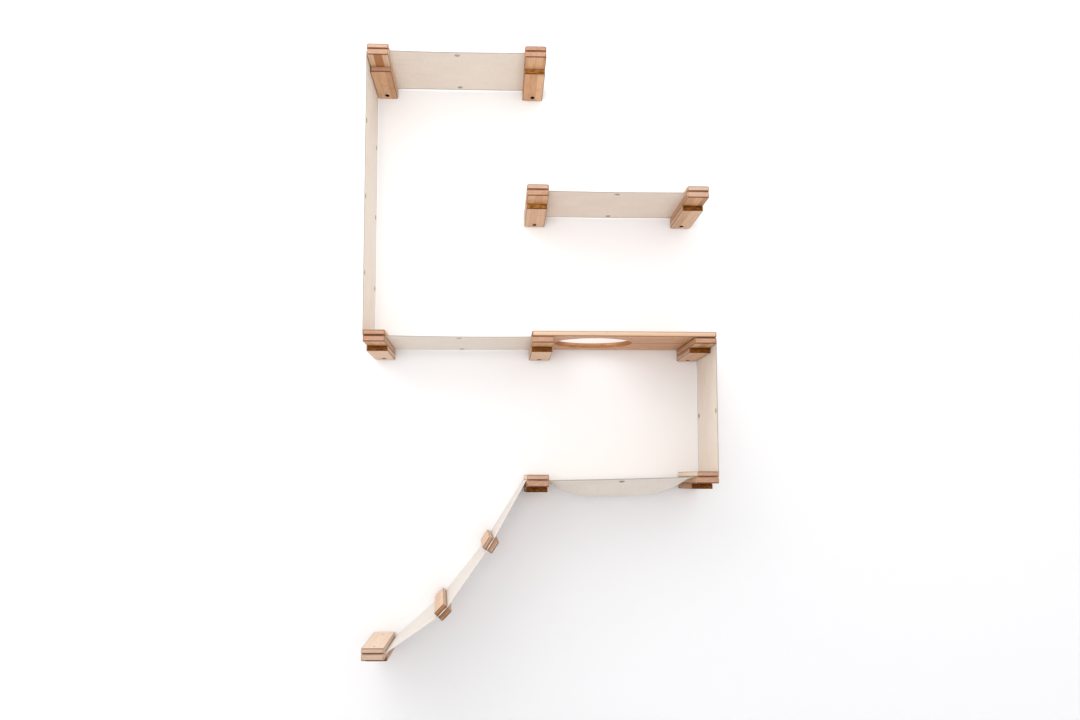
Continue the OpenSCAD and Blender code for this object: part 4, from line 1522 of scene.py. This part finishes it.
@dataclass
class ClothSizes:
    """What all canvases share."""

    wall_gap: float = 2.0 * MM
    eyelet_wall_gap: float = 3.5 * MM
    front_gap: float = 10.9 * MM
    eyelet_inset: float = 20.0 * MM
    tab_gap: float = 1.0 * MM
    waist: float = 1.5 * MM
    pucker_depth: float = 0.5 * MM
    pucker_reach: float = 15.0 * MM
    ripple: float = 0.55 * MM
    ripple_rise: float = 0.2
    second_ripple: float = 0.5
    second_pitch: float = 0.61

    @property
    def front(self) -> float:
        """Y of the canvases' front edges."""
        return Bracket.MIDDLE_CENTRE.box(Layer.RAIL)[0][1] + self.front_gap

    @property
    def width(self) -> float:
        """Width of the canvases."""
        return -self.wall_gap - self.front

    def half_tab(self, bracket: Bracket) -> float:
        """Clamped length where two canvases share a bracket."""
        low, high = bracket.box(Layer.RAIL)
        return (high[0] - low[0] - self.tab_gap) / 2

    def full_tab(self, bracket: Bracket) -> float:
        """Clamped length where one canvas has a bracket to itself."""
        low, high = bracket.box(Layer.RAIL)
        return high[0] - low[0] - 2 * self.tab_gap

    def drawn_in(self, bow: Array) -> Array:
        """Share of the cloth's width that is left where its free edges come in by the waist times bow."""
        return 1 - 2 * self.waist / self.width * bow

    def rows(self, bow: float = 1.0) -> Array:
        """Distances across the cloth of the front and the wall eyelets, where it comes in by bow."""
        ys = np.array([self.eyelet_inset, -self.eyelet_wall_gap - self.front - self.eyelet_inset])
        return self.width / 2 + (ys - self.width / 2) / self.drawn_in(bow)

    def across(self, t: Array, bow: Array) -> Array:
        """Y of a point at the distance t across the cloth, where it comes in by bow."""
        return self.front + self.width / 2 + (t - self.width / 2) * self.drawn_in(bow)

    def clamp_height(self, bracket: Bracket) -> float:
        """Z of the middle of the cloth in a bracket's clamp."""
        top = box_of("hatch_shelf")[0][2] if bracket.carries_shelf else bracket.box(Layer.CAP)[0][2]
        return (top + bracket.box(Layer.RAIL)[1][2]) / 2

    def pucker(self, s: Array, t: Array, eyelets: Sequence[tuple[float, float]]) -> Array:
        """Dish that each pressed eyelet draws into the cloth: -depth * exp(-(r / reach)^2).

        Args:
            s: Distance along the cloth.
            t: Distance across it.
            eyelets: Distances along and across of each eyelet.

        Returns:
            How far each point is lifted.
        """
        dish = np.zeros(np.broadcast(s, t).shape)
        for centre_s, centre_t in eyelets:
            square = (s - centre_s) ** 2 + (t - centre_t) ** 2
            dish -= self.pucker_depth * np.exp(-square / self.pucker_reach ** 2)
        return dish

    def clamp_ripple(self, distance: Array, t: Array, phase: float, reach: float, pitch: float) -> Array:
        """Tension folds beside a clamp: height * (sine + a lower, closer sine) across the cloth.

        Args:
            distance: How far each point is from the clamp.
            t: Distance across the cloth.
            phase: Where across it the folds start.
            reach: Distance over which they die away, after they rose over a fifth of it.
            pitch: Distance from fold to fold.

        Returns:
            How far each point is lifted.
        """
        d = np.maximum(distance, 0.0)
        fade = np.exp(-d / reach) * (1 - np.exp(-d / (reach * self.ripple_rise)))
        turn = 2 * math.pi * t / pitch
        waver = np.sin(turn + phase) + self.second_ripple * np.sin(turn / self.second_pitch + 2 * phase)
        return self.ripple * fade * waver


@dataclass
class LevelHammock:
    """Taut canvas between two brackets of one height."""

    finishes: Finishes
    sizes: ClothSizes
    name: str
    left: Bracket
    right: Bracket
    left_tab: float
    right_tab: float
    phase: float
    sag: float = 1.0 * MM
    ripple_reach: float = 42.0 * MM
    ripple_pitch: float = 31.0 * MM

    def build(self) -> None:
        """Makes the hammock.

        Its middle surface is a parabola along the wall, -4 sag u (1 - u). Its two free edges draw in by
        the waist, also as a parabola, and it has the clamps' ripples and the eyelets' dishes.
        """
        sizes = self.sizes
        start = self.left.box(Layer.RAIL)[1][0]
        span = self.right.box(Layer.RAIL)[0][0] - start
        height = sizes.clamp_height(self.left)
        eyelets = [(self.left_tab + span / 2, row) for row in sizes.rows()]

        def shape(s: Array, t: Array) -> Array:
            """Shapes the middle surface.

            Args:
                s: Distance along.
                t: Distance across.

            Returns:
                Place of each point.
            """
            u = np.clip((s - self.left_tab) / span, 0, 1)
            bow = 4 * u * (1 - u)
            z = height - self.sag * bow + sizes.pucker(s, t, eyelets)
            for distance, phase in ((u * span, self.phase), ((1 - u) * span, self.phase + 2)):
                z = z + sizes.clamp_ripple(distance, t, phase, self.ripple_reach, self.ripple_pitch)
            x = start - self.left_tab + s
            return np.stack(np.broadcast_arrays(x, sizes.across(t, bow), z), -1)

        Canvas(
            self.finishes, self.name, "root", self.left_tab + span + self.right_tab, sizes.width, shape,
            (self.left_tab, self.left_tab + span), [b.node(Layer.RAIL) for b in (self.left, self.right)],
            eyelets=eyelets, eyelet_nodes=[f"{self.name}_eyelets"] * 2,
        ).build()


def rounded_path(corners: Array, radii: Sequence[float], arc_steps: int = 8) -> Array:
    """Polyline with an arc at each inner corner.

    Args:
        corners: The polyline's points, one x, z row each.
        radii: Bend radius at each inner corner.
        arc_steps: Number of steps in each arc.

    Returns:
        Points of the rounded line.
    """
    made = [corners[0]]
    for before, corner, after, radius in zip(corners, corners[1:], corners[2:], radii):
        a = (before - corner) / np.linalg.norm(before - corner)
        b = (after - corner) / np.linalg.norm(after - corner)
        half = math.acos(float(np.clip(a @ b, -1, 1))) / 2
        centre = corner + (a + b) / np.linalg.norm(a + b) * radius / math.sin(half)
        first, last = (corner + v * radius / math.tan(half) - centre for v in (a, b))
        share = np.linspace(0, 1, arc_steps + 1)[:, None]
        turn = math.pi - 2 * half
        arc = np.sin((1 - share) * turn) * first + np.sin(share * turn) * last
        made += list(centre + arc / math.sin(turn))
    return np.array([*made, corners[-1]])


@dataclass
class Drop:
    """Upright canvas outside two brackets, clamped at both ends.

    Attributes:
        side: -1 if it hangs on the brackets' left and 1 if on their right.
        eyelet_offsets: Each eyelet pair's distance down from the middle of the free stretch.
        nodes: The CAD node of each pair.
        bend: Bend radius where it leaves a clamp.
        slack_bend: Bend radius at the free stretch's two ends.
    """

    finishes: Finishes
    sizes: ClothSizes
    name: str
    upper: Bracket
    lower: Bracket
    side: int
    eyelet_offsets: tuple[float, ...]
    nodes: tuple[str, ...]
    phase: float
    clearance: float = 0.95 * MM
    bend: float = 1.6 * MM
    slack_bend: float = 60.0 * MM
    seam_gap: float = 3.0 * MM
    ripple_reach: float = 90.0 * MM
    ripple_pitch: float = 43.4 * MM

    def build(self) -> None:
        """Makes the drop: a rounded path of straight runs, carried along the brackets' depth.

        Its free edges draw in by the waist times the square root of the parabola 4u (1 - u).
        """
        sizes, ends = self.sizes, (self.upper, self.lower)
        outer = max(self.side, 0)
        xs = [bracket.box(Layer.RAIL)[outer][0] + self.side * self.clearance for bracket in ends]
        tabs = [sizes.half_tab(bracket) for bracket in ends]
        inner = [x - self.side * (tab + self.clearance) for x, tab in zip(xs, tabs)]
        upper_z, lower_z = (sizes.clamp_height(bracket) for bracket in ends)
        bottom = self.upper.box(Layer.BLOCK)[0][2]
        top = self.lower.box(Layer.CAP)[1][2]
        corners = np.array([
            [inner[0], upper_z], [xs[0], upper_z], [xs[0], bottom], [xs[1], top], [xs[1], lower_z],
            [inner[1], lower_z],
        ])
        path = rounded_path(corners, [self.bend, self.slack_bend, self.slack_bend, self.bend])
        run = distances_along(path)
        length = float(run[-1])
        free = [float(run[np.argmin(np.abs(path[:, 1] - z))]) for z in (bottom, top)]
        eyelets = [(sum(free) / 2 + offset, row)
                   for offset in self.eyelet_offsets for row in sizes.rows()]
        slope = np.gradient(path, run, axis=0)
        out = slope[:, 1] * self.side

        def shape(s: Array, t: Array) -> Array:
            """Shapes the middle surface.

            Args:
                s: Distance along.
                t: Distance across.

            Returns:
                Place of each point.
            """
            u = np.clip((s - free[0]) / (free[1] - free[0]), 0, 1)
            bow = np.clip(4 * u * (1 - u), 0, 1) ** 0.5
            relief = sizes.pucker(s, t, eyelets)
            for distance, phase in ((s - free[0], self.phase), (free[1] - s, self.phase + 1)):
                relief = relief + sizes.clamp_ripple(distance, t, phase, self.ripple_reach, self.ripple_pitch)
            past_ends = np.minimum(s, 0.0) + np.maximum(s - length, 0.0)
            x = np.interp(s, run, path[:, 0]) + past_ends * np.interp(s, run, slope[:, 0])
            x = x + relief * np.interp(s, run, out)
            return np.stack(np.broadcast_arrays(x, sizes.across(t, bow), np.interp(s, run, path[:, 1])), -1)

        Canvas(
            self.finishes, self.name, "root", length, sizes.width, shape,
            (tabs[0] + self.seam_gap, length - tabs[1] - self.seam_gap), [b.node(Layer.RAIL) for b in ends],
            eyelets=eyelets, eyelet_nodes=[node for node in self.nodes for _ in range(2)],
        ).build()


@dataclass
class Lounge:
    """Hammock whose front and wall edges are taut, with a pouch between them for the cat to lie in."""

    finishes: Finishes
    sizes: ClothSizes
    left: Bracket = Bracket.LOUNGE_LEFT
    right: Bracket = Bracket.LOUNGE_RIGHT
    edge_sag: float = 1.0 * MM
    pouch_depth: float = 44.0 * MM
    fullness: float = 3.6
    lip: float = 1.5
    folds: int = 9
    fold_height: float = 1.1 * MM
    fold_rise: float = 12.0 * MM
    fold_reach: float = 55.0 * MM
    fan_reach: float = 120.0 * MM
    fan_narrowing: float = 0.35

    def build(self) -> None:
        """Makes the lounge.

        Its depth is (edge + (pouch - edge) sin(pi v)^lip) (1 - |2u - 1|^fullness), with u along the wall
        and v across, and soft folds fan out from the clamps into the pouch.
        """
        sizes = self.sizes
        start, end = self.left.box(Layer.RAIL)[1][0], self.right.box(Layer.RAIL)[0][0]
        span, tab = end - start, sizes.half_tab(self.left)
        left_z, right_z = (sizes.clamp_height(bracket) for bracket in (self.left, self.right))
        eyelets = [(tab + span / 2, row) for row in sizes.rows(bow=0.0)]

        def shape(s: Array, t: Array) -> Array:
            """Shapes the middle surface.

            Args:
                s: Distance along.
                t: Distance across.

            Returns:
                Place of each point.
            """
            u = np.clip((s - tab) / span, 0, 1)
            v = t / sizes.width
            across = np.sin(math.pi * np.clip(v, 0, 1)) ** self.lip
            along = np.clip(1 - np.abs(2 * u - 1) ** self.fullness, 0, 1)
            depth = (self.edge_sag + (self.pouch_depth - self.edge_sag) * across) * along
            near = np.minimum(u, 1 - u) * span
            spread = 1 - self.fan_narrowing * np.clip(near / self.fan_reach, 0, 1)
            fade = np.exp(-near / self.fold_reach) * (1 - np.exp(-near / self.fold_rise))
            fold = self.fold_height * np.cos(self.folds * math.pi * (v - 0.5) * spread) * across * fade
            z = left_z + (right_z - left_z) * u - depth + fold + sizes.pucker(s, t, eyelets)
            return np.stack(np.broadcast_arrays(start - tab + s, sizes.front + t, z), -1)

        Canvas(
            self.finishes, "lounge_hammock", "root", span + 2 * tab, sizes.width, shape, (tab, tab + span),
            [b.node(Layer.RAIL) for b in (self.left, self.right)], Held.HUNG, eyelets,
            ["lounge_hammock_eyelets"] * 2,
        ).build()


@dataclass
class Rung:
    """Place and slope of one of the ramp's rungs.

    Attributes:
        number: 1 for the upper rung and 2 for the lower one.
        middle: X and z of its canvas's middle, at the brackets' front ends.
        uphill: Unit vector up the ramp, as x and z.
        lift: How much higher its wall end is.
        ends: How pale its slats' ends are painted, as a highlight.
    """

    number: int
    middle: Array
    uphill: Array
    lift: float
    ends: float

    @property
    def body(self) -> str:
        """Its CAD body, which is also how its nodes' names start."""
        return f"rung_{self.number}"

    @property
    def normal(self) -> Array:
        """Unit vector out of the ramp's upper face, as x and z."""
        return np.array([-self.uphill[1], self.uphill[0]])


@dataclass
class Ramp:
    """Canvas ramp that hangs between two brackets, with two rungs clamped across it.

    Attributes:
        rung_shares: How far down the chord between the ramp's ends each rung lies.
        rung_drops: How far below the chord it hangs.
        clamp_gap: Gap between a rung's two slats, and between the ramp and a bracket.
        tuck: How far each stretch of canvas reaches in under the slats.
        stretch_bow: How far a stretch hangs below its own straight line.
        strip_gap: How far the strip inside a rung ends short of the stretches.
        bend_from: How far on the bracket's side of the ramp's upper end the canvas would start to bend; not
            used.
        bend_share: How far towards the upper rung that bend would end; not used.
    """

    finishes: Finishes
    sizes: ClothSizes
    screws: Screws
    top: Bracket = Bracket.LOUNGE_LEFT
    foot: Bracket = Bracket.RAMP_FOOT
    rung_width: float = 34.0 * MM
    tread_thick: float = 12.0 * MM
    backer_thick: float = 14.5 * MM
    rung_front_gap: float = 12.0 * MM
    rung_wall_gap: float = 6.4 * MM
    rung_shares: tuple[float, float] = (0.329, 0.698)
    rung_drops: tuple[float, float] = (31.6 * MM, 45.1 * MM)
    rung_lifts: tuple[float, float] = (9.5 * MM, 20.0 * MM)
    rung_ends: tuple[float, float] = (0.25, 0.0)
    fold_gap: float = 0.4 * MM
    foot_gap: float = 0.9 * MM
    clamp_gap: float = 1.3 * MM
    corner_radius: float = 6.0 * MM
    outer_radius: float = 3.0 * MM
    inner_radius: float = 0.5 * MM
    screw_length: float = 22.0 * MM
    screw_inset: float = 30.0 * MM
    slat_crown: float = 0.8
    tread_paleness: float = 0.3
    backer_paleness: float = 0.1
    slat_seed: int = 130
    tuck: float = 1.2 * MM
    edge_roll: float = 0.6 * MM
    top_bend: float = 2.2 * MM
    stretch_bow: float = 0.8 * MM
    seam_gap: float = 7.0 * MM
    strip_gap: float = 1.0 * MM
    bend_from: float = 2.0 * MM
    bend_share: float = 0.08

    def __post_init__(self) -> None:
        """Works out the ramp's two ends and its rungs."""
        top_low, foot_high = self.top.box(Layer.RAIL)[0], self.foot.box(Layer.RAIL)[1]
        self.front = float(top_low[1])
        self.start = np.array([top_low[0] - self.clamp_gap, self.sizes.clamp_height(self.top)])
        self.end = np.array([foot_high[0] + self.clamp_gap, self.sizes.clamp_height(self.foot)])
        chord = self.end - self.start
        down = np.array([chord[1], -chord[0]]) / np.linalg.norm(chord)
        middles = [self.start + chord * s - down * d for s, d in zip(self.rung_shares, self.rung_drops)]
        uphills = [self.start - middles[1], middles[0] - self.end]
        self.rungs = [
            Rung(number, middle, uphill / np.linalg.norm(uphill), lift, ends)
            for number, (middle, uphill, lift, ends)
            in enumerate(zip(middles, uphills, self.rung_lifts, self.rung_ends), 1)
        ]
        self.rung_end = -self.front - self.rung_wall_gap

    def skew(self, rung: Rung) -> float:
        """Angle by which a rung rises towards the wall."""
        return math.asin(rung.lift / self.rung_end)

    def axes(self, rung: Rung) -> Array:
        """Turns a rung's own axes into the ramp's slope and skew.

        Args:
            rung: The rung.

        Returns:
            Rows uphill, towards the wall and out of the ramp's upper face.
        """
        uphill, normal = (np.array([v[0], 0.0, v[1]]) for v in (rung.uphill, rung.normal))
        wall = np.array([0.0, 1.0, 0.0])
        cosine, sine = math.cos(self.skew(rung)), math.sin(self.skew(rung))
        return np.stack([uphill, cosine * wall + sine * normal, cosine * normal - sine * wall])

    def edge(self, rung: Rung, uphill: float, y: float) -> Array:
        """Point x, z on a rung's canvas plane, a distance uphill of its middle, at the frame's y."""
        return rung.middle + rung.uphill * uphill + rung.normal * (y - self.front) * math.tan(self.skew(rung))

    def slats(self, rung: Rung) -> None:
        """Makes the tread and the backer of a rung, and the screws that draw them together.

        Args:
            rung: The rung.
        """
        axes, origin = self.axes(rung), np.array([rung.middle[0], self.front, rung.middle[1]])
        turned_up = np.diag([1.0, -1.0, -1.0])
        ys = (self.rung_front_gap + self.screw_inset, self.rung_end - self.screw_inset)
        places = np.array([[0.0, y, -self.clamp_gap / 2 - self.backer_thick] for y in ys])
        half_length = (self.rung_end - self.rung_front_gap) / 2
        turn = Matrix(axes.T.tolist()).to_4x4()
        for part, side, thick, paleness in (
            ("tread", 1, self.tread_thick, self.tread_paleness),
            ("backer", -1, self.backer_thick, self.backer_paleness),
        ):
            middle = np.array([0.0, self.rung_front_gap + half_length, side * (self.clamp_gap + thick) / 2])
            size = np.array([self.rung_width, 2 * half_length, thick])
            radii = (self.outer_radius, self.inner_radius)[::side]
            stock = new_mesh(part, board(size, self.corner_radius, *radii))
            mesh = cut(stock, self.screws.holes(self.screw_length, places - middle, turned_up))
            mark_timber(mesh, Grain.Y, self.corner_radius, self.outer_radius)
            # Faces and ends painted paler as a highlight
            look = Look(faces=paleness, ends=rung.ends, crown=self.slat_crown)
            look.mark(mesh, self.slat_seed + rung.number * 10 + side)
            turn.translation = origin + middle @ axes
            mesh.transform(turn)
            node = f"{rung.body}_{part}"
            add_piece(f"{node}_slat", mesh, self.finishes.slat, rung.body, [node])
        self.screws.drive(f"{rung.body}_screws", rung.body, self.screw_length, origin + places @ axes,
                          turned_up @ axes)

    def ruled(
        self, name: str, body: str, front: Array, back: Array, replaced: list[str], held_by: list[str],
        bow: float = 0.0,
    ) -> bpy.types.Object:
        """Makes a stretch of canvas between two rounded paths.

        Its middle surface is (1 - w) front(s) + w back(s), with w from the front edge to the wall edge,
        less a parabola of the height bow.

        Args:
            name: Name of the stretch.
            body: The CAD body that it rides on.
            front: Path of its front edge, one x, z row for each point.
            back: Path of its wall edge.
            replaced: The CAD nodes that it stands for.
            held_by: The CAD nodes that carry it.
            bow: How far its middle hangs below its ends' straight line.

        Returns:
            The sheet.
        """
        sizes = self.sizes
        paths = [(path, distances_along(path)) for path in (front, back)]
        length = float(sum(run[-1] for _, run in paths)) / 2

        def on_path(u: Array, path: Array, run: Array) -> Array:
            """Follows a path.

            Args:
                u: Share of its length, which may lie a little past its ends.
                path: Its points.
                run: Distance of each point along it.

            Returns:
                The points there.
            """
            shares = run / run[-1]
            point = np.stack([np.interp(u, shares, path[:, k]) for k in (0, 1)], -1)
            first, last = ((path[b] - path[a]) / (shares[b] - shares[a]) for a, b in ((0, 1), (-2, -1)))
            return point + np.minimum(u, 0)[..., None] * first + np.maximum(u - 1, 0)[..., None] * last

        def shape(s: Array, t: Array) -> Array:
            """Shapes the middle surface.

            Args:
                s: Distance along.
                t: Distance across.

            Returns:
                Place of each point.
            """
            u, w = np.broadcast_arrays(s / length, t / sizes.width)
            at_front, at_back = (on_path(u, path, run) for path, run in paths)
            x, z = np.moveaxis((1 - w)[..., None] * at_front + w[..., None] * at_back, -1, 0)
            return np.stack([x, sizes.front + w * sizes.width, z - bow * 4 * np.clip(u * (1 - u), 0, 1)], -1)

        return Canvas(
            self.finishes, name, body, length, sizes.width, shape, (self.seam_gap, length - self.seam_gap),
            held_by, replaced=replaced, ramp_shade=True, roll=self.edge_roll, fold_shade=0.0,
        ).build()

    def build(self) -> None:
        """Makes the rungs, the three stretches of canvas between the clamps, and the clamped strips."""
        sizes, (one, two) = self.sizes, self.rungs
        out = self.rung_width / 2 + self.fold_gap / 2 - self.tuck
        ys = (sizes.front, sizes.front + sizes.width)
        top_rail, foot_rail = (bracket.node(Layer.RAIL) for bracket in (self.top, self.foot))
        tab_x = self.start[0] + self.clamp_gap + sizes.half_tab(self.top)
        clamped = [tab_x, self.start[1]]
        upper = [
            rounded_path(np.array([clamped, self.start, self.edge(one, out, y)]), [self.top_bend]) for y in ys
        ]
        cloth = self.ruled("ramp_upper_canvas", "ramp_upper", *upper, ["ramp_upper_canvas", "ramp_end_tabs"],
                           [top_rail, "rung_1_backer"])
        self.bend_at_top([cloth, bpy.data.objects["ramp_upper_canvas_stitching"]])
        middle = [np.array([self.edge(one, -out, y), self.edge(two, out, y)]) for y in ys]
        self.ruled("ramp_middle_canvas", "ramp_middle", *middle, ["ramp_middle_canvas"],
                   ["rung_1_backer", "rung_2_backer"], self.stretch_bow)
        foot = self.end + np.array([self.foot_gap / 2 - self.clamp_gap, 0.0])
        lower = [np.array([self.edge(two, -out, y), foot]) for y in ys]
        self.ruled("ramp_lower_canvas", "ramp_lower", *lower, ["ramp_lower_canvas"],
                   ["rung_2_backer", foot_rail], self.stretch_bow)
        inner = self.foot.box(Layer.RAIL)[0][0] + sizes.tab_gap
        tab = np.array([[foot[0] - self.foot_gap / 2, foot[1]], [inner, foot[1]]])
        self.ruled("ramp_foot_tab", "root", tab, tab, [], [foot_rail])
        reach = out - self.strip_gap
        for rung in self.rungs:
            self.slats(rung)
            strip = [np.array([self.edge(rung, x, y) for x in (reach, -reach)]) for y in ys]
            name = f"{rung.body}_strip"
            self.ruled(name, rung.body, *strip, [name], [f"{rung.body}_backer"])

    def bend_at_top(self, pieces: Sequence[bpy.types.Object]) -> None:
        """Detaches the upper cloth and its stitching from their body and bakes their place into their meshes.

        Args:
            pieces: The cloth and its stitching.
        """
        for piece in pieces:
            piece.parent = None
            if "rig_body" in piece:
                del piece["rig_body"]
            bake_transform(piece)


@dataclass(frozen=True)
class Lamp:
    """A light of the studio: a broad softbox, or a spot if its cone has an angle in degrees."""

    name: str
    place: tuple[float, float, float]
    target: tuple[float, float, float]
    watts: float
    size: float
    angle: float = 0.0

    def build(self) -> None:
        """Makes the light, whose -Z points at its target."""
        data = bpy.data.lights.new(self.name, "SPOT" if self.angle else "AREA")
        data.energy = self.watts
        if self.angle:
            data.spot_size = math.radians(self.angle)
            data.spot_blend = 1.0
            data.shadow_soft_size = self.size
        else:
            data.size = self.size
        turn = (Vector(self.target) - Vector(self.place)).to_track_quat("-Z", "Y").to_matrix().to_4x4()
        light = bpy.data.objects.new(self.name, data)
        light.matrix_world = Matrix.Translation(self.place) @ turn
        bpy.context.scene.collection.objects.link(light)


@dataclass
class Studio:
    """White wall and floor, soft lights and the camera."""

    focal_pixels: float = 1077.81
    image_width: float = 1080.0
    sensor_mm: float = 36.0
    camera_place: tuple[float, float, float] = (-0.1130, -2.9015, -0.3403)
    yaw: float = -2.291
    pitch: float = 6.365
    roll: float = -0.094
    reach: float = 6.0
    wall_clearance: float = 0.6 * MM
    floor_height: float = -1.12
    wall_paint: str = "#F6F6F7"
    floor_paint: str = "#D5D5D7"
    ambient: float = 1.17
    lamps: tuple[Lamp, ...] = (
        Lamp("key", (-1.5, -2.2, 2.2), (-0.1, 0.0, 0.2), watts=39.0, size=3.2),
        Lamp("front", (-0.3, -3.2, 0.0), (-0.25, 0.0, 0.55), watts=123.0, size=0.5, angle=48.0),
    )

    def camera(self) -> None:
        """The photograph's view: turned by yaw, pitch and roll from a level view along +Y."""
        data = bpy.data.cameras.new("camera")
        data.sensor_width = self.sensor_mm
        data.lens = self.focal_pixels / self.image_width * self.sensor_mm
        eye = bpy.data.objects.new("camera", data)
        matrix = Matrix.Translation(self.camera_place)
        for degrees, axis in ((self.yaw, "Z"), (self.pitch, "X"), (self.roll, "Y"), (90.0, "X")):
            matrix = matrix @ Matrix.Rotation(math.radians(degrees), 4, axis)
        eye.matrix_world = matrix
        bpy.context.scene.collection.objects.link(eye)
        bpy.context.scene.camera = eye

    def stage(self) -> None:
        """The wall just behind the brackets, and the floor under the ramp."""
        r, low, back = self.reach, self.floor_height, self.wall_clearance
        for name, corners, paint in (
            ("studio_wall", [(-r, back, low), (r, back, low), (r, back, r), (-r, back, r)], self.wall_paint),
            ("studio_floor", [(-r, -r, low), (r, -r, low), (r, 0, low), (-r, 0, low)], self.floor_paint),
        ):
            mesh = new_mesh(name, Surface(np.array(corners), np.array([[0, 1, 2, 3]])))
            mesh.materials.append(PaintedPlaster(f"{name}_emulsion", paint).material())
            plane = bpy.data.objects.new(name, mesh)
            bpy.context.scene.collection.objects.link(plane)

    def world(self) -> None:
        """White sky: full white where it is seen, and the ambient level on everything else."""
        world = bpy.data.worlds.new("studio_sky")
        world.use_nodes = True
        world.node_tree.nodes.clear()
        node = partial(add_node, world.node_tree)
        rays = node("LightPath").node.outputs
        seen = rays["Is Camera Ray"]
        for other in ("Is Glossy Ray", "Is Transmission Ray"):
            seen = node("Math", [seen, rays[other]], operation="MAXIMUM")
        strength = node("MapRange", {0: seen, 3: self.ambient, 4: 1.0})
        node("OutputWorld", [node("Background", {"Color": "#FFFFFF", "Strength": strength})])
        bpy.context.scene.world = world

    def build(self) -> None:
        """Makes the camera, the stage, the lights and the sky."""
        self.camera()
        self.stage()
        self.world()
        for lamp in self.lamps:
            lamp.build()
        bpy.context.scene.view_settings.view_transform = "Standard"


def main() -> None:
    logging.basicConfig(level=logging.INFO, format="%(name)s: %(message)s")
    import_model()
    Studio().build()
    finishes, sizes = Finishes(), ClothSizes()
    screws = Screws(finishes)
    brackets = Brackets(finishes, screws)
    brackets.build()
    HatchShelf(finishes, screws, brackets).build()
    b, half, full = Bracket, sizes.half_tab, sizes.full_tab
    for name, left, right, left_tab, right_tab, phase in (
        ("top_hammock", b.TOP_LEFT, b.TOP_RIGHT, half, full, 0.4),
        ("middle_hammock", b.MIDDLE_LEFT, b.MIDDLE_CENTRE, half, half, 1.7),
        ("side_hammock", b.SIDE_LEFT, b.SIDE_RIGHT, full, full, 2.9),
    ):
        LevelHammock(finishes, sizes, name, left, right, left_tab(left), right_tab(right), phase).build()
    pitch = 195.0 * MM
    levels = ("left_drop_upper_eyelets", "left_drop_middle_eyelets", "left_drop_lower_eyelets")
    for name, upper, lower, side, offsets, nodes, phase in (
        ("left_drop", b.TOP_LEFT, b.MIDDLE_LEFT, -1, (-pitch, 0.0, pitch), levels, 0.9),
        ("right_drop", b.MIDDLE_RIGHT, b.LOUNGE_RIGHT, 1, (0.0,), ("right_drop_eyelets",), 2.2),
    ):
        Drop(finishes, sizes, name, upper, lower, side, offsets, nodes, phase).build()
    Lounge(finishes, sizes).build()
    Ramp(finishes, sizes, screws).build()


if __name__ == "__main__":
    main()
